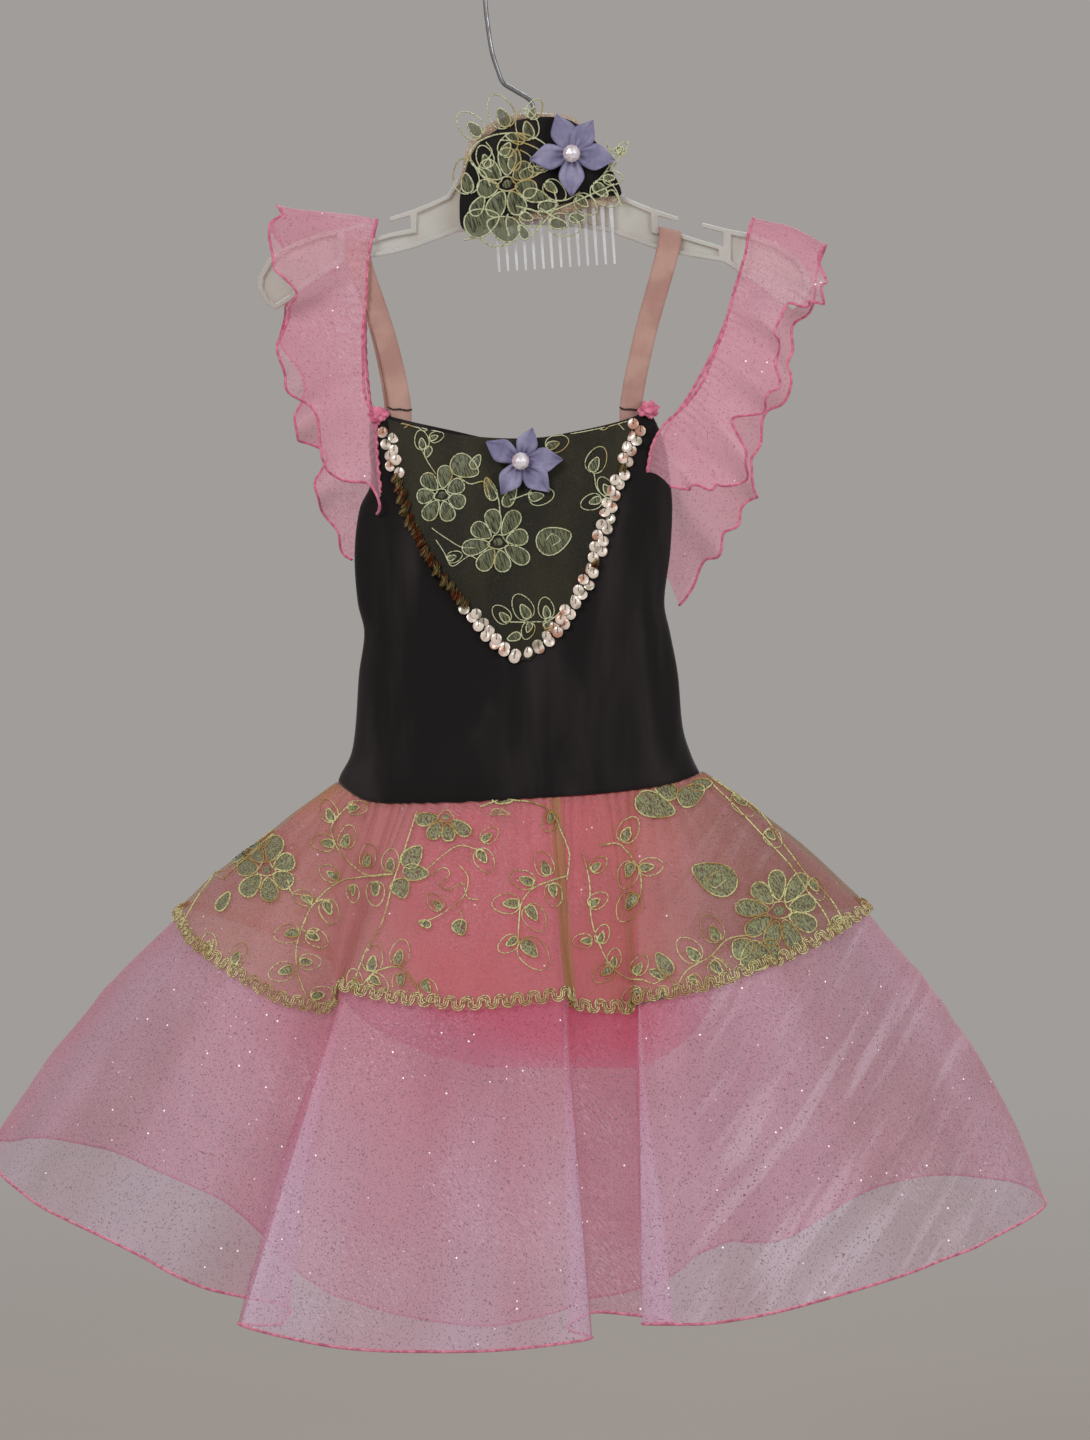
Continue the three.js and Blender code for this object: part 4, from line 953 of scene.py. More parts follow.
# %% Brief
BRIEF_LEVELS = table("down left right front back", [
    (474, -102.5, 88, 28.6, 25.6), (486, -107, 91.5, 31, 28), (500, -105, 92, 28, 25),
    (525, -111, 97, 26, 23), (570, -117, 103, 23, 21), (602, -116, 105, 18, 17), (622, -104, 101, 12, 12),
    (640, -76, 86, 5, 5), (654, -30, 64, 0.9, 0.9)])
BRIEF_TOP, BRIEF_FOOT, BRIEF_CELLS, PLAY = 474, 654, 48, 0.08
brief_left, brief_right, brief_front, brief_back = through_all(BRIEF_LEVELS, "down",
                                                               "left right front back")


def brief_place(share, level, side):
    down = BRIEF_TOP + (BRIEF_FOOT - BRIEF_TOP) * level
    middle, half = middle_and_half(brief_left(down), brief_right(down))
    across = math.sin(0.995 * (2 * share - 1) * math.pi / 2)
    full = fullness(across) * 0.98 + 0.02
    depth = (brief_front if side < 0 else brief_back)(down) * full
    depth = max(0.75, depth * (1 + PLAY * noise.noise((share * 9, level * 4, side))))
    return middle + half * across, side * depth, -down


for side, name in ((-1, "brief_front"), (1, "brief_back")):
    shares = [k / BRIEF_CELLS for k in range(BRIEF_CELLS + 1)]
    spread = [[brief_place(share if side < 0 else 1 - share, level, side) for share in shares]
              for level in shares]
    brief = piece("jersey_" + name, cloth(np.array(spread) * MM, (0.24, 0.185)), jersey,
                  [name])

# %% [markdown]
# Straps are flat elastic. The cloth follows the strap's line over the hanger: the front run, the bend
# over the bar and the back run.

# %% Straps
STRAPS = table("name top_x top_down slope front_x front_y back_x back_y", [
    ("strap_left", -101, 175, -0.3, -77, -4.3, -80, 3.2),
    ("strap_right", 77.9, 168.5, 0.22, 56, -2.2, 56, 2.2)])
ELASTIC_WIDTH, ELASTIC_THICK, HANGER_RIM, LAY = 12.7, 1.1, 7, 0.3
SEAM_DOWN, NECK_DOWN, MIDWAY_DOWN = 284, 268, 230
STRAP_ROWS, FRONT_RUN, BACK_RUN = 130, slice(4, 62), slice(69, 127)


def strap_route(s):
    """Points (x, y, down, slope) from the bodice's front, over the hanger's bar and down to its back."""
    off = ELASTIC_THICK / 2 + LAY
    face = HANGER_RIM / 2 + off
    corner = off * (1 - math.sqrt(0.5))
    top = s["top_down"]
    bend = [(-face, top + 6), (-face, top), (corner - face, top - off + corner), (off - face, top - off),
            (face - off, top - off), (face - corner, top - off + corner), (face, top), (face, top + 6)]
    return [(s["front_x"], s["front_y"], SEAM_DOWN, 0), (s["front_x"], s["front_y"], NECK_DOWN, 0),
            ((2 * s["front_x"] + s["top_x"]) / 3, -face, MIDWAY_DOWN, 0),
            *((s["top_x"], y, down, s["slope"]) for y, down in bend),
            ((2 * s["back_x"] + s["top_x"]) / 3, face, MIDWAY_DOWN, 0),
            (s["back_x"], s["back_y"], NECK_DOWN, 0), (s["back_x"], s["back_y"], SEAM_DOWN, 0)]


edge_lines = []
for strap in STRAPS:
    route = smooth_curve(strap_route(strap), np.linspace(0, 1, STRAP_ROWS + 1))
    lanes = np.linspace(-0.5, 0.5, 9)
    places = np.array([[(x + lane * ELASTIC_WIDTH, y, -down - slope * lane * ELASTIC_WIDTH)
                        for lane in lanes] for x, y, down, slope in route]) * MM
    sewn_on = places + normals_of(places) * 0.6 * MM
    for run in (FRONT_RUN, BACK_RUN):
        edge_lines += list(sewn_on[run, (1, 7)].transpose(1, 0, 2))
    band = piece("elastic_" + strap["name"], cloth(places, (0.0127, 0.225)), elastic,
                 [strap["name"]])
    thicken(band, "wall", 1.0)
cords("strap_edge_threads", edge_lines, 0.2 * MM, nude_thread, sides=0)

# %% [markdown]
# Each sleeve ruffle is one strip of organza, gathered along the inner edge and waving along the outer.
# Two smooth curves through a table of sections give the edges. Between them the cloth bellies a little,
# and towards the outer edge it flutters more and more, as a rolled hem that was stretched does.

# %% Ruffles
RUFFLE_LEFT = [
    (-88, -10.0, 318, -90, -15, 330), (-90, -8.0, 296, -98, -21, 311), (-91, -6.4, 278, -118, -27, 306),
    (-97, -7, 262, -124, -18, 276), (-98, -8, 245, -143, -26, 252), (-98, -8, 225, -144, -16, 226),
    (-96, -8, 205, -136, -24, 207), (-95, -8, 186, -150, -18, 186), (-92, -7, 170, -148, -13, 164),
    (-90, 0, 162.2, -144, -2, 156), (-92, 7, 170, -149, 14, 168), (-96, 8, 192, -138, 24, 196),
    (-97, 8, 216, -146, 16, 228), (-97, 8, 240, -134, 26, 262), (-95, 6, 262, -138, 17, 286),
    (-92, 4.8, 284, -121, 25, 300), (-90, 7.0, 306, -127, 19, 322), (-91, 8.4, 326, -114, 24, 345),
    (-95, 9.4, 344, -106, 17, 359)]
RUFFLE_RIGHT = [
    (65, -11.6, 306, 78, -18, 314), (68, -9.4, 291, 93, -24, 315), (75, -6.8, 279, 108, -18, 315),
    (87, -8, 268, 123, -28, 303), (96, -9, 256, 115, -18, 278), (103, -9, 240, 134, -27, 266),
    (109, -9, 224, 140, -16, 246), (113, -8, 209, 134, -25, 226), (117, -8, 195, 150, -17, 212),
    (121, -7, 182, 164, -21, 208), (123, -5, 170, 165, -10, 188), (126, 2, 161, 166, 2, 174),
    (124, 8, 172, 164, 14, 200), (119, 9, 192, 150, 24, 228), (112, 9, 216, 150, 16, 252),
    (102, 9, 240, 136, 26, 276), (90, 8, 262, 128, 16, 304), (76, 6, 284, 128, 26, 322),
    (72, 7.8, 306, 112, 18, 344), (72, 9.2, 332, 98, 26, 366), (74, 8.6, 362, 84, 18, 384)]


ROWS_A_SECTION, RUFFLE_LANES, RUFFLE_WIDTH, RUFFLE_CORD = 12, 25, 0.05, 0.8


def ruffle(name, sections, seed, node):
    shares = np.linspace(0, 1, (len(sections) - 1) * ROWS_A_SECTION + 1)
    flip = np.array([1, 1, -1]) * MM
    inner, outer = (smooth_curve(edge, shares) * flip for edge in np.hsplit(np.array(sections), 2))
    across = np.linspace(0, 1, RUFFLE_LANES)
    flat = inner[:, None] + (outer - inner)[:, None] * across[None, :, None]
    way = normals_of(flat)
    for i, share in enumerate(shares):
        beside = Vector(outer[i] - inner[i]).normalized()
        for j, lane in enumerate(across):
            sway = 1.5 * noise.noise((share * 9, seed, 0))
            gather = 0.7 * (1 - lane) ** 3 * math.sin(i * 1.9 + seed)
            flutter = 3.4 * lane ** 2 * math.sin(math.pi * i / ROWS_A_SECTION + sway)
            lettuce = lane ** 4 * math.sin(2 * math.pi * i / 13 + 3 * sway)
            crumple = 1.6 * noise.noise((share * 26, lane * 2.2, seed)) * min(1, 4 * lane)
            flat[i, j] += way[i, j] * (gather + flutter + crumple + 1.8 * lettuce) * MM
            flat[i, j] += np.array(beside) * 2.2 * lettuce * MM
            flat[i, j, 2] += 2 * math.sin(math.pi * lane) * MM
    length = float(run_along(outer)[-1])
    made = piece(name, cloth(flat, (RUFFLE_WIDTH, length)), ruffle_organza, [node])
    made.visible_shadow = False
    edges = cords(name + "_hem", [flat[:, -1], flat[:, 0]], RUFFLE_CORD * MM, ruffle_hem)
    print(f"{name}: outer edge {length:.3f} m")


ruffle("ruffle_left", RUFFLE_LEFT, 3.0, "sleeve_ruffle_left")
ruffle("ruffle_right", RUFFLE_RIGHT, 8.0, "sleeve_ruffle_right")

# %% [markdown]
# Organza flowers are folded from five squares, so each petal ends in a point, is widest past its middle
# and has pleats at its root. A petal is a grid shaped by its width table, and a Solidify modifier gives
# the doubled cloth its thickness. The faceted pearl is an icosphere with flat faces.

# %% Flowers
petal_half = through(table("along half", [(0, 0.12), (0.2, 0.21), (0.4, 0.29), (0.55, 0.30), (0.72, 0.21),
                                          (0.87, 0.10), (1, 0.01)]), "along", "half")
PEARL = 10.4


def petal(bm, centre, angle, length, lift, seed):
    """One folded petal, standing out of the seat by its cup, its pleats and its own lift."""
    fresh = bmesh.ops.create_grid(bm, x_segments=12, y_segments=16, size=0.5)["verts"]
    for vert in fresh:
        across, along = 2 * vert.co.x, vert.co.y + 0.5
        reach = 2 + (length - 2) * along
        side = across * petal_half(along) * length
        cup = 3.4 * math.sin(math.pi * along * 0.85) + 1.5 * across ** 2 * (1 - along)
        pleat = 1.6 * math.cos(3 * math.pi * across) * math.exp(-(along / 0.42) ** 2)
        crease = -1.7 * math.exp(-(across / 0.18) ** 2) * (1 - 0.8 * along)
        ripple = 1.1 * noise.noise((across * 1.8, along * 2.4, seed))
        rise = 1.7 + cup + pleat + crease + ripple + lift * along
        way = Vector((math.cos(angle), 0, math.sin(angle)))
        beside = Vector((-math.sin(angle), 0, math.cos(angle)))
        vert.co = centre + (way * reach + beside * side + Vector((0, -rise, 0))) * MM


def flower(name, node, pearl_name, pearl_node, petals):
    """petals: the angle in degrees and the length in mm of each, seen from the front."""
    low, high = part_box(pearl_node)
    middle = (low + high) / 2
    seat = Vector((middle.x, middle.y + (PEARL / 2 + 2.7) * MM, middle.z))
    bm = bmesh.new()
    for k, (angle, length) in enumerate(petals):
        petal(bm, seat, math.radians(angle), length, 0.4 * (k % 2), k * 3.1)
    made = piece(name, bm, lavender, [node])
    thicken(made, "doubled", 0.6)
    bm = bmesh.new()
    bmesh.ops.create_icosphere(bm, subdivisions=2, radius=PEARL / 2 * MM)
    bmesh.ops.scale(bm, vec=(1, 0.8, 1), verts=bm.verts)
    bmesh.ops.translate(bm, vec=middle, verts=bm.verts)
    piece(pearl_name, bm, pearl, [pearl_node], smooth=False)


flower("bodice_organza_flower", "bodice_flower", "bodice_faceted_pearl", "bodice_pearl",
       [(2, 24), (70, 20), (151, 22.5), (240, 22), (313, 24)])
flower("head_organza_flower", "headpiece_flower", "head_faceted_pearl", "headpiece_pearl",
       [(-8, 25), (57, 22.5), (111, 24), (188, 24), (270, 24)])

# %% [markdown]
# The headpiece: a crescent of black velvet on a nude net backing. Each is its outline filled with one
# face, extruded to its thickness and bevelled all round, so that its edge is soft.

# %% Headpiece base
BASE_OUTLINE = [(-41, 167), (-42.5, 156), (-41.8, 146), (-38, 131), (-33, 121), (-24, 113), (-12, 106.5),
                (5, 103.8), (20, 105.5), (33, 115), (43, 131), (50, 148), (44, 148.6), (31, 150.6),
                (18, 153), (5, 156.6), (-12, 160), (-24, 165), (-33, 169.5)]
BACKING_OUTLINE = [(-40, 165), (-42, 147), (-40, 128), (-36, 116), (-27, 108.5), (-14, 103.5), (6, 102),
                   (22, 103.8), (32, 115), (42, 133), (48, 150), (40, 154), (26, 156), (12, 160), (-4, 163),
                   (-20, 167)]


def crescent(name, outline, front, back, soft, look, node):
    rim = smooth_curve([(x, back, -down) for x, down in outline], np.linspace(0, 1, 97)[:-1], closed=True)
    bm = bmesh.new()
    face = bm.faces.new([bm.verts.new(point * MM) for point in rim])
    grown = bmesh.ops.extrude_face_region(bm, geom=[face])["geom"]
    top = [v for v in grown if isinstance(v, bmesh.types.BMVert)]
    bmesh.ops.translate(bm, vec=(0, (front - back) * MM, 0), verts=top)
    bmesh.ops.recalc_face_normals(bm, faces=bm.faces)
    edges = [e for e in bm.edges if all(v in set(top) for v in e.verts)]
    bmesh.ops.bevel(bm, geom=edges, offset=soft * MM, offset_type="OFFSET", affect="EDGES", segments=3,
                    profile=0.5, material=-1)
    piece(name, bm, look, [node])


crescent("velvet_crescent", BASE_OUTLINE, -9.9, -7.5, 1.0, velvet, "headpiece_base")
crescent("nude_backing", BACKING_OUTLINE, -7.2, -6.3, 0.3, sheer_backing, "headpiece_backing")

# %% [markdown]
# Embroidery is drawn on the frame's own grid of places and laid on its carrier: a ray from the camera
# through each place finds the cloth, and the point is moved out a little. So leaves and cords drape
# over the folds, seen from any side. Motifs are plain leaves, loops and lobed flowers: a satin fill
# and a cord round it.

# %% Helpers for embroidery
def carrier(made):
    """The cloth of a piece, ready to be found by rays."""
    bm = bmesh.new()
    bm.from_mesh(made.data)
    tree = BVHTree.FromBMesh(bm)
    bm.free()
    return tree


def lay_on(tree, px, py, out, behind=False):
    """The place on the carrier seen at that place in the frame, moved out towards the viewer."""
    start, way = ray_of(px, py, behind)
    point, normal, _, _ = tree.ray_cast(start, way)
    if point is None:
        point, normal, _, _ = tree.find_nearest(start + way * DISTANCE)
    if normal.dot(way) > 0:
        normal = -normal
    return point + normal * out * MM


def turned(x, y, angle):
    c, s = math.cos(math.radians(angle)), math.sin(math.radians(angle))
    return x * c - y * s, -(x * s + y * c)


class Embroidery:
    """Fills and cords on one carrier. Places are in the frame's pixels and angles in degrees."""

    def __init__(self, name, lay, slot):
        self.name, self.lay, self.slot = name, lay, slot
        self.fill, self.lines, self.thin = bmesh.new(), [], []

    def patch(self, outline):
        """A satin fill: a grid bent into a disc whose rim is the outline."""
        fresh = bmesh.ops.create_grid(self.fill, x_segments=16, y_segments=3, size=0.5)["verts"]
        for vert in fresh:
            share, ring = vert.co.x + 0.5, vert.co.y + 0.5
            x, y = outline(2 * math.pi * share, ring)
            vert.co = self.lay(x, y, 0.35 + 0.35 * (1 - ring * ring))

    def leaf(self, x, y, length, width, angle, taper=0.35, rim=True):
        """One satin leaf with a cord round it; taper above 0 points its tip, below 0 its root."""
        def outline(a, r=1.0):
            along, beside = r * length / 2 * math.cos(a), r * width / 2 * math.sin(a)
            dx, dy = turned(along, beside * (1 - taper * math.cos(a)), angle)
            return x + dx, y + dy

        self.patch(outline)
        if rim:
            self.lines.append([self.lay(*outline(2 * math.pi * k / 20), 0.7) for k in range(21)])

    def loop(self, x, y, size, angle):
        """A ring of cord, nearly closed, with a small leaf at its root, as on every sprig."""
        ring = []
        for k in range(21):
            a = 3.3 + 6.1 * k / 20
            dx, dy = turned(size * 0.5 * (math.cos(a) + 0.1 * math.cos(2 * a)),
                            size * 0.36 * math.sin(a), angle)
            ring.append(self.lay(x + dx, y + dy, 0.6))
        self.thin.append(ring)
        dx, dy = turned(-size * 0.14, 0, angle)
        self.leaf(x + dx, y + dy, size * 0.56, size * 0.32, angle)

    def flower(self, x, y, radius, lobes, turn=0.0, start=0.0, end=360.0):
        """Round petals, each with its own cord, about a twisted ring; start and end cut it short."""
        width = 3.7 * radius / lobes
        for k in range(lobes):
            angle = turn + 360 * k / lobes
            if not start <= angle % 360 <= end:
                continue
            length = (0.66 + 0.09 * (k * 5 % 3)) * radius
            dx, dy = turned(0.26 * radius + length / 2, 0, angle)
            self.leaf(x + dx, y + dy, length, width, angle, -0.35)
        self.lines.append([self.lay(x + radius * 0.27 * math.cos(a) * (1 + 0.3 * math.sin(3 * a)),
                                    y + radius * 0.22 * math.sin(a), 1.0)
                           for a in (2 * math.pi * k / 18 for k in range(19))])
        self.leaf(x, y, radius * 0.3, radius * 0.24, turn, 0, rim=False)

    def vine(self, points, thick=False):
        line = smooth_curve([(x, y, 0) for x, y in points], np.linspace(0, 1, 7 * len(points)))
        (self.lines if thick else self.thin).append([self.lay(x, y, 0.6) for x, y, _ in line])

    def draw(self, loops, leaves, vines, thin_vines=()):
        """Whole tables of loops (x y size angle), leaves (x y length width angle) and stems."""
        for x, y, size, angle in loops:
            self.loop(x, y, size, angle)
        for leaf in leaves:
            self.leaf(*leaf)
        for line in vines:
            self.vine(line, True)
        for line in thin_vines:
            self.vine(line)

    def sew(self, thick=0.52, fine=0.36, look=cord_gold):
        bmesh.ops.remove_doubles(self.fill, verts=self.fill.verts, dist=1e-6)
        satin = piece(self.name + "_satin", self.fill, satin_stitch)
        cords(self.name + "_cord", self.lines, thick * MM, look, sides=0)
        cords(self.name + "_fine_cord", self.thin, fine * MM, look, sides=0)
        return satin


# %% [markdown]
# Embroidery on the insert: an eight lobed flower, a smaller one, leaves and three sprigs.

# %% Embroidery on the insert
insert_tree = carrier(insert)
sewn = Embroidery("insert_embroidery", lambda x, y, out: lay_on(insert_tree, x, y, out), "gold_insert")
sewn.flower(498, 542, 33, 8, 12)
sewn.flower(442, 495, 27, 7, 30)
sewn.draw(
    loops=[(540, 496, 26, 10), (556, 444, 24, 20), (596, 461, 28, 65), (605, 487, 20, 120),
           (592, 502, 22, 200), (422, 441, 20, 100), (454, 557, 16, 20), (502, 615, 22, 135),
           (523, 608, 28, 120), (546, 609, 22, 100), (528, 630, 18, 250), (436, 437, 15, 20),
           (551, 624, 18, 20)],
    leaves=[(465, 467, 30, 22, -28), (490, 489, 24, 11, 110), (510, 497, 22, 11, 60),
            (554, 540, 36, 26, 20), (476, 462, 16, 9, 60), (514, 637, 14, 8, 200),
            (428, 452, 12, 7, 250)],
    vines=[[(594, 474), (597, 489), (609, 500), (622, 508)], [(487, 478), (498, 498), (500, 514)],
           [(510, 500), (522, 496), (532, 492)], [(505, 622), (531, 622), (550, 620), (566, 606)],
           [(458, 476), (470, 484), (484, 482), (490, 500)]],
    thin_vines=[[(422, 450), (428, 462), (436, 474)],
                [(432, 528), (437, 532), (449, 540), (461, 547), (474, 548)],
                [(436, 540), (444, 552), (452, 566), (470, 556), (478, 560)],
                [(566, 424), (576, 432), (590, 426), (604, 430), (614, 422), (624, 430)],
                [(404, 428), (414, 424), (424, 431), (436, 425)],
                [(546, 540), (552, 534), (560, 540), (552, 546)]])
sewn.sew(0.42, 0.32, cord_green)

# %% [markdown]
# Embroidery on the peplum: large flowers, and sprigs whose stems carry a loop at every turn. The back
# gets the same sprigs, laid by rays that come from behind.

# %% Embroidery on the peplum
peplum_tree = carrier(peplum)
PEPLUM_FLOWERS = [(267, 870, 32, 7, 20), (446, 817, 27, 8, 8, 150, 390), (779, 911, 40, 9, 15)]
PEPLUM_LOOPS = [
    (329, 812, 24, 110), (324, 843, 24, 170), (347, 838, 24, 70), (368, 857, 24, 80), (391, 862, 24, 85),
    (357, 808, 20, 10), (330, 874, 22, 150), (353, 893, 19, -80), (376, 893, 25, -90), (304, 898, 21, 160),
    (329, 911, 26, -70), (288, 934, 26, 190), (316, 938, 24, -30), (282, 972, 26, 200), (309, 962, 22, 0),
    (321, 995, 24, 10), (209, 945, 22, 80), (238, 955, 24, 60), (373, 960, 28, 80), (400, 954, 27, 75),
    (378, 983, 23, -40), (401, 984, 24, -90), (428, 990, 25, -60), (355, 981, 22, 100), (484, 860, 26, -60),
    (489, 836, 20, 40), (436, 903, 20, 130), (544, 865, 26, 110), (523, 880, 26, 160), (553, 894, 24, -80),
    (507, 904, 28, 180), (534, 917, 30, -60), (509, 944, 23, 215), (533, 953, 38, -50), (550, 821, 21, 250),
    (628, 831, 28, 60), (650, 867, 25, 10), (628, 874, 28, 250), (629, 906, 32, 240), (598, 865, 20, 40),
    (597, 901, 22, 30), (583, 941, 20, 180), (602, 935, 20, 70), (604, 973, 24, 215), (614, 959, 20, 80),
    (640, 966, 22, 60), (633, 995, 22, 210), (743, 803, 30, -50), (712, 930, 30, 120), (690, 951, 30, 135),
    (719, 971, 28, -50), (695, 983, 20, -60), (772, 838, 22, -50), (815, 889, 24, -60), (838, 925, 20, -70)]
PEPLUM_LEAVES = [
    (243, 850, 34, 11, 48), (413, 857, 26, 18, 52), (416, 873, 26, 16, -4), (401, 889, 20, 18, -70),
    (502, 800, 20, 9, -8), (460, 928, 16, 14, -70), (425, 924, 12, 7, 160), (714, 878, 48, 30, 155),
    (755, 956, 30, 30, 100), (741, 948, 20, 22, 140), (769, 950, 22, 24, 60), (655, 806, 42, 24, -20),
    (691, 795, 30, 20, 30), (666, 791, 24, 16, 160), (701, 785, 22, 12, 10), (664, 964, 26, 14, 125),
    (658, 974, 18, 9, 160), (662, 999, 20, 9, 80), (258, 834, 20, 10, 40), (224, 902, 22, 10, 55)]
PEPLUM_VINES = [
    [(353, 803), (333, 823), (333, 838), (341, 853), (366, 875), (393, 875)],
    [(393, 874), (366, 877), (339, 882), (314, 904), (302, 928), (296, 951), (298, 974), (307, 999)],
    [(314, 904), (322, 900), (330, 903)], [(302, 930), (312, 934), (318, 930)],
    [(353, 1004), (364, 984), (376, 972), (401, 968), (418, 990), (424, 1004)],
    [(226, 972), (236, 966), (240, 958)], [(206, 956), (212, 950), (214, 940)],
    [(288, 880), (292, 893), (304, 896), (312, 905)],
    [(567, 876), (548, 882), (531, 890), (521, 905), (519, 920), (518, 940)],
    [(481, 807), (502, 800), (518, 801), (537, 804), (554, 815), (562, 835), (569, 852), (567, 880)],
    [(600, 846), (618, 844), (633, 860), (641, 878), (640, 895), (634, 905)],
    [(582, 852), (589, 882), (591, 919), (599, 944), (611, 966), (627, 978), (644, 980)],
    [(752, 935), (727, 940), (711, 956), (686, 972), (676, 990)], [(711, 956), (722, 962), (727, 968)],
    [(711, 778), (734, 794), (758, 811), (787, 850), (805, 874), (831, 901), (846, 929)],
    [(711, 784), (740, 812), (768, 842), (790, 866), (806, 890), (824, 914), (834, 936)],
    [(417, 810), (405, 850), (393, 884), (382, 923), (366, 951), (351, 991)],
    [(262, 822), (240, 842), (220, 868), (198, 898), (184, 922)], [(633, 995), (626, 1008), (625, 1016)]]
PEPLUM_THREADS = [
    [(426, 871), (445, 854), (460, 846), (474, 849), (484, 852)],
    [(432, 876), (444, 868), (450, 874), (440, 886), (450, 890), (462, 884), (468, 898), (478, 900)],
    [(460, 866), (468, 878), (464, 896), (452, 907), (437, 917), (422, 923)],
    [(458, 906), (462, 918), (460, 928)],
    [(644, 980), (654, 984), (668, 976), (676, 990)], [(720, 870), (706, 880), (714, 888), (726, 880)]]


def sew_peplum(name, behind):
    sewn = Embroidery(name, lambda x, y, out: lay_on(peplum_tree, x, y, out, behind), "gold_net")
    for spot in PEPLUM_FLOWERS:
        sewn.flower(*spot)
    sewn.draw(PEPLUM_LOOPS, PEPLUM_LEAVES, PEPLUM_VINES, PEPLUM_THREADS)
    sewn.sew()


sew_peplum("peplum_embroidery", False)
sew_peplum("peplum_embroidery_back", True)

# %% [markdown]
# Lace of the headpiece: wired loops with a leaf inside each, a big satin flower, leaves, and the
# sprig of thin wires at the right. It lies on one plane just in front of the velvet.

# %% Headpiece lace
LACE_Y = -10.4 * MM


def lay_flat(px, py, out):
    start, way = ray_of(px, py)
    point = start + way * ((LACE_Y - start.y) / way.y)
    return point + Vector((0, -out * MM, 0))


lace = Embroidery("head_lace", lay_flat, "green_lace")
lace.flower(507, 184, 33, 7, 38)
lace.draw(
    loops=[(471, 126, 32, 135), (501, 113, 36, 115), (527, 126, 32, 105), (466, 178, 36, 100),
           (604, 193, 32, -40), (585, 204, 26, -40), (563, 225, 32, -12), (508, 146, 26, 60),
           (485, 158, 24, 110), (540, 165, 22, 200), (554, 190, 26, -40), (530, 218, 24, -20),
           (612, 158, 17, 60), (622, 149, 14, 60), (534, 110, 22, 60), (612, 178, 20, 0)],
    leaves=[(482, 222, 36, 27, 20), (503, 228, 34, 24, 160), (532, 172, 26, 10, 20), (515, 160, 22, 12, 80),
            (536, 196, 26, 13, -12), (478, 206, 22, 12, 60), (515, 138, 20, 10, 160),
            (548, 206, 20, 10, 10), (523, 232, 16, 9, 120), (577, 218, 16, 9, 0), (618, 150, 8, 6, 60)],
    vines=[[(464, 168), (474, 146), (486, 138), (500, 134), (524, 134), (542, 142), (552, 152)],
           [(500, 140), (520, 142), (536, 148), (548, 156)],
           [(516, 206), (545, 212), (570, 204), (592, 194)],
           [(592, 194), (606, 188), (614, 184)], [(471, 160), (484, 178), (496, 184)],
           [(540, 208), (552, 216), (566, 222)], [(554, 190), (556, 205), (544, 222), (532, 236)],
           [(470, 150), (472, 164), (484, 172), (490, 186)], [(508, 214), (506, 222), (509, 236)],
           [(464, 240), (478, 238), (492, 246), (512, 244)],
           [(600, 198), (612, 190), (619, 200), (621, 206)]],
    thin_vines=[[(590, 188), (602, 176), (612, 162), (622, 149)], [(610, 170), (612, 158), (606, 142)],
                [(612, 172), (618, 160), (628, 146), (629, 140)],
                [(520, 150), (530, 156), (536, 168), (546, 170)],
                [(548, 200), (566, 200), (580, 192)], [(486, 142), (492, 152), (484, 166), (492, 172)]])
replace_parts(lace.sew(0.5, 0.4, cord_green), "headpiece_lace")

# %% [markdown]
# The sequins are cups strung on both sides of the V. One cup is a short profile spun about its axis.
# On the left, where the strand stands on edge, they show their coppery rims.

# %% Sequins
SEQUIN, STRAND_GAP, STRAND_LANE, CUP_STEPS, THREAD_RADIUS = 6.4, 3.35, 3.6, 14, 0.16
LEFT_STRAND = [(388, 430), (397, 470), (400, 490), (420, 540), (445, 580), (470, 610), (490, 635),
               (505, 650), (517, 657)]
RIGHT_STRAND = [(530, 655), (550, 635), (575, 600), (590, 570), (600, 540), (607, 510), (618, 480),
                (628, 450), (636, 422)]
bodice_tree = carrier(bodice)
rng = random.Random(11)


def cup():
    bm = bmesh.new()
    profile = [(0.35, 0.36), (1.5, 0.34), (2.6, 0.16), (SEQUIN / 2, -0.15)]
    edges = [bm.verts.new((r * MM, 0, z * MM)) for r, z in profile]
    strip = [bm.edges.new(pair) for pair in zip(edges, edges[1:])]
    bmesh.ops.spin(bm, geom=edges + strip, axis=(0, 0, 1), cent=(0, 0, 0), steps=CUP_STEPS, angle=2 * math.pi,
                   use_merge=True)
    bmesh.ops.recalc_face_normals(bm, faces=bm.faces)
    return bm


def spaced(line, gap):
    """Points along a line of frame places, a gap in mm apart, with the direction there."""
    fine = smooth_curve([(x, y, 0) for x, y in line], np.linspace(0, 1, 400))[:, :2]
    run = run_along(fine) * PIXEL
    marks = np.arange(gap / 2, run[-1], gap)
    return [(np.interp(m, run, fine[:, 0]), np.interp(m, run, fine[:, 1])) for m in marks]


def strand(line, on_edge):
    """Cups in two lanes, facing out, or thicker and standing on edge where on_edge says so."""
    pale, edgewise = [], []
    for k, (x, y) in enumerate(spaced(line, STRAND_GAP)):
        edge = on_edge(x, y)
        lane = (STRAND_LANE if k % 2 else -STRAND_LANE) * (0.3 if edge else 1)
        spot = lay_on(bodice_tree, x + lane + rng.uniform(-1.4, 1.4), y + rng.uniform(-1, 1),
                      2.6 + 0.5 * (k % 3))
        face = Vector((rng.gauss(0, 0.26), -1, rng.gauss(0.1, 0.26))).normalized()
        if edge:
            for step in (-1.1, 0, 1.1):
                face = Vector((-0.9, -0.35, rng.gauss(0.35, 0.3))).normalized()
                place = Matrix.Translation(spot + face * step * MM)
                edgewise.append(place @ face.to_track_quat("Z", "Y").to_matrix().to_4x4())
        else:
            pale.append(Matrix.Translation(spot) @ face.to_track_quat("Z", "Y").to_matrix().to_4x4())
    return pale, edgewise


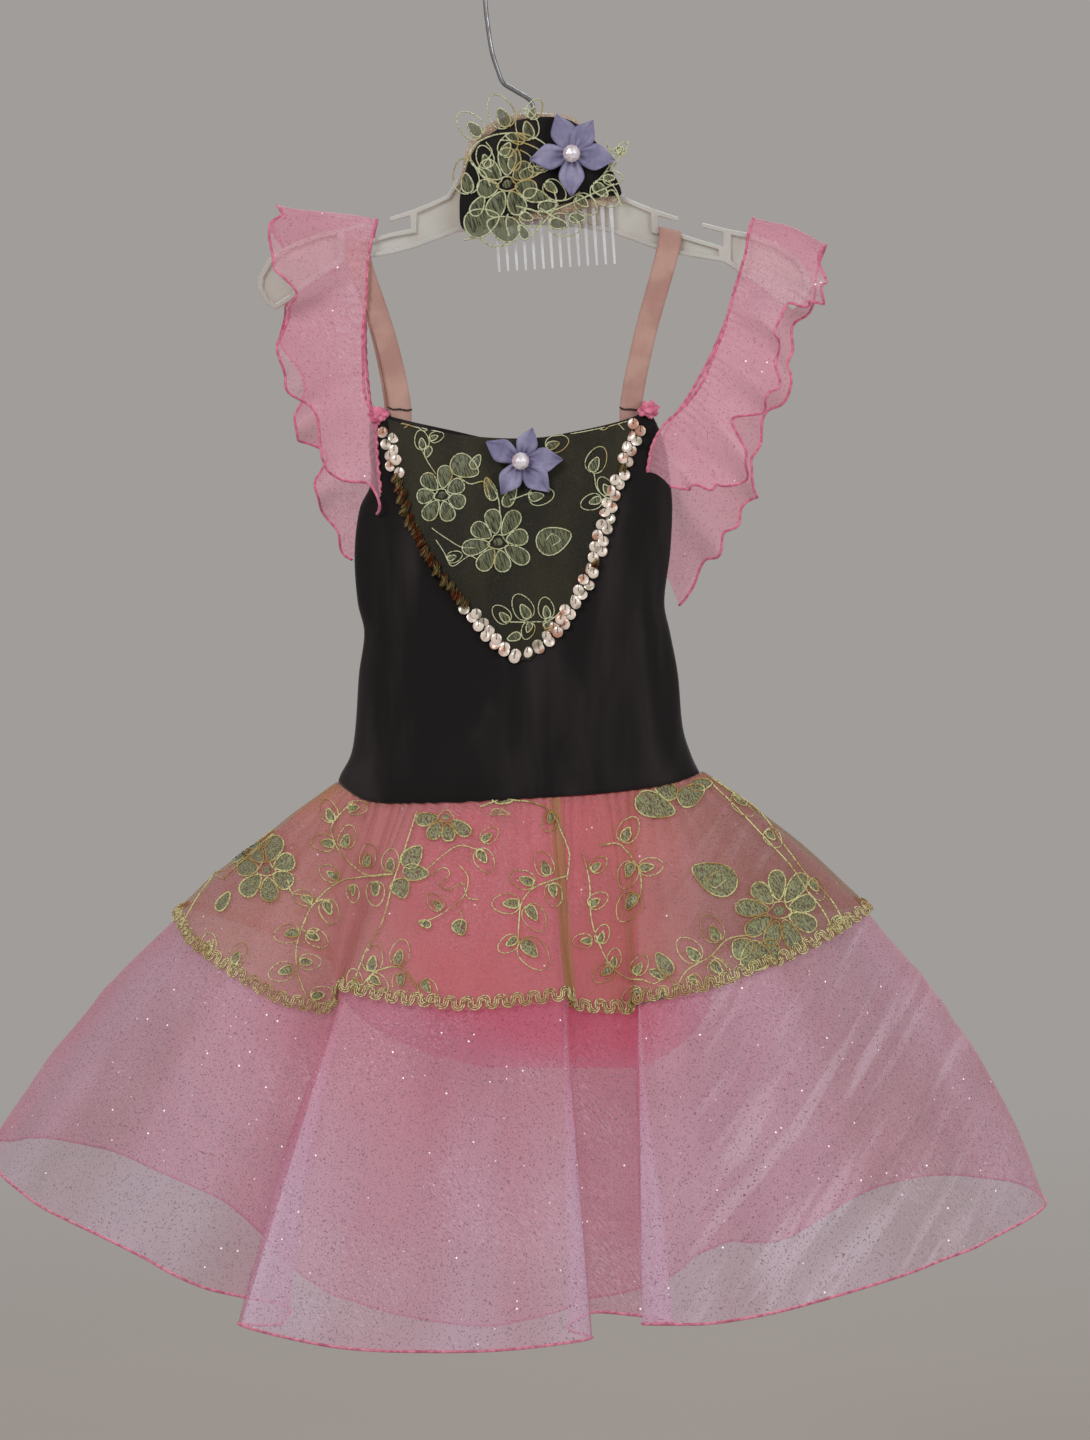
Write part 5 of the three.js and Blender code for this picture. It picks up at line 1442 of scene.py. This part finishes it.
left_pale, left_edge = strand(LEFT_STRAND, lambda x, y: 474 < y < 604)
right_pale, right_edge = strand(RIGHT_STRAND, lambda x, y: rng.random() < 0.08)
piece("pale_sequins", repeated(cup(), left_pale + right_pale), sequin)
piece("copper_sequins", repeated(cup(), left_edge + right_edge), copper)
ties = [[move @ Vector((0, 0, 1.0 * MM)), move @ Vector((0.1 * MM, 1.6 * MM, 0.9 * MM)),
         move @ Vector((0.2 * MM, 3.3 * MM, 0.1 * MM))] for move in left_pale + right_pale]
cords("sequin_ties", ties, THREAD_RADIUS * MM, thread, sides=0)

# %% [markdown]
# Small sewing: stitch lines along the neck casing, the black thread that ties each strap down, and the
# gathered ends of the ruffles at the bodice's corners. The threads along the straps' edges are sewn with
# the straps.

# %% Stitches and gathered ends
def dashes(line, length, gap):
    """Short straight stitches along a line of points in metres."""
    run = run_along(line) / MM
    starts = np.arange(0, run[-1] - length, length + gap)

    def spot(m):
        return [float(np.interp(m, run, line[:, axis])) for axis in range(3)]

    return [[spot(m), spot(m + length / 2), spot(m + length)] for m in starts]


way_out = normals_of(bodice_places, closed=True)
row = round(BODICE_ROWS * STITCH_ROW * MM / BODICE_FLAT[1])
casing_line = bodice_places[row] + way_out[row] * 0.75 * MM
cords("casing_stitches", dashes(casing_line, 2.0, 0.7), THREAD_RADIUS * MM, thread, sides=0)
KNOTS = {"left": (-89.5, -6.5, 273.5), "right": (66.5, -6.5, 270.5)}
KNOT_WIDTH, KNOT_DEPTH, KNOT_HEIGHT = 5.4, 3.2, 4.6
for name, (x, y, down) in KNOTS.items():
    bm = bmesh.new()
    bmesh.ops.create_icosphere(bm, subdivisions=4, radius=1.0)
    for vert in bm.verts:
        fold = 1 + 0.55 * noise.noise(vert.co * 1.9 + Vector((x, 0, 0))) + 0.25 * noise.noise(vert.co * 5)
        knot = vert.co * fold
        vert.co = Vector((x + KNOT_WIDTH * knot.x, y + KNOT_DEPTH * knot.y,
                          KNOT_HEIGHT * knot.z - down)) * MM
    piece(f"gathered_end_{name}", bm, ruffle_hem)
TIE = [(-6.8, 269.2), (-4, 270.4), (0, 270.2), (4, 271.0), (7, 270.4)]
tie_lines = [np.array([(s["front_x"] + x, s["front_y"] - 1.6 + 0.4 * (k % 2), -down)
                       for k, (x, down) in enumerate(TIE)]) * MM for s in STRAPS]
cords("strap_ties", tie_lines, 0.45 * MM, thread, sides=0)

# %% [markdown]
# A pale floor well below, which fades out before its edge shows, a pale surround and three soft area
# lights: a large key from the front left, a fill from the right and one from behind and above.

# %% Stage
FLOOR_DOWN, FLOOR_RADIUS, FADES_FROM, FADES_TO = 1.15, 3.0, 0.7, 2.8
LIGHTS = [("key", (-1.4, -2.6, 1.3), 1.4, 48), ("fill", (2.0, -2.0, 0.2), 1.6, 22),
          ("rim", (0.6, 2.2, 1.6), 1.4, 26)]
LIT = Vector((0, 0, -0.45))

bpy.context.scene.view_settings.view_transform = "Standard"
world = bpy.context.scene.world = bpy.data.worlds.new("studio")
world.use_nodes = True
surround = world.node_tree.nodes["Background"].inputs
surround["Color"].default_value = tone(161, 157, 154)
surround["Strength"].default_value = 1.0

bm = bmesh.new()
bmesh.ops.create_circle(bm, cap_ends=True, segments=96, radius=FLOOR_RADIUS)
bmesh.ops.translate(bm, vec=(0, 0, -FLOOR_DOWN), verts=bm.verts)
floor_mesh = bpy.data.meshes.new("floor")
bm.to_mesh(floor_mesh)
bm.free()
placed("floor", floor_mesh)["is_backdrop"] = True
f = Finish("pale_floor", tone(176, 169, 163), 0.9)
from_middle = f.add("VectorMath", {0: f.place((1, 1, 0))}, operation="LENGTH").outputs["Value"]
f.feed(Alpha=f.steps(from_middle, FADES_FROM, FADES_TO, 1.0, 0.0))
floor_mesh.materials.append(f.material)

for name, spot, size, watts in LIGHTS:
    data = bpy.data.lights.new(name, "AREA")
    data.shape, data.size, data.energy = "DISK", size, watts
    lamp = placed(name, data)
    lamp.location = spot
    lamp.rotation_euler = (LIT - lamp.location).to_track_quat("-Z", "Y").to_euler()
print("stage: floor at", -FLOOR_DOWN, "m and", len(LIGHTS), "lights")

# %% Finish
visual_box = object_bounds()
for name, (low, high) in {"cad": cad_box, "visual": visual_box}.items():
    print(name, [round(c, 3) for c in low], [round(c, 3) for c in high])
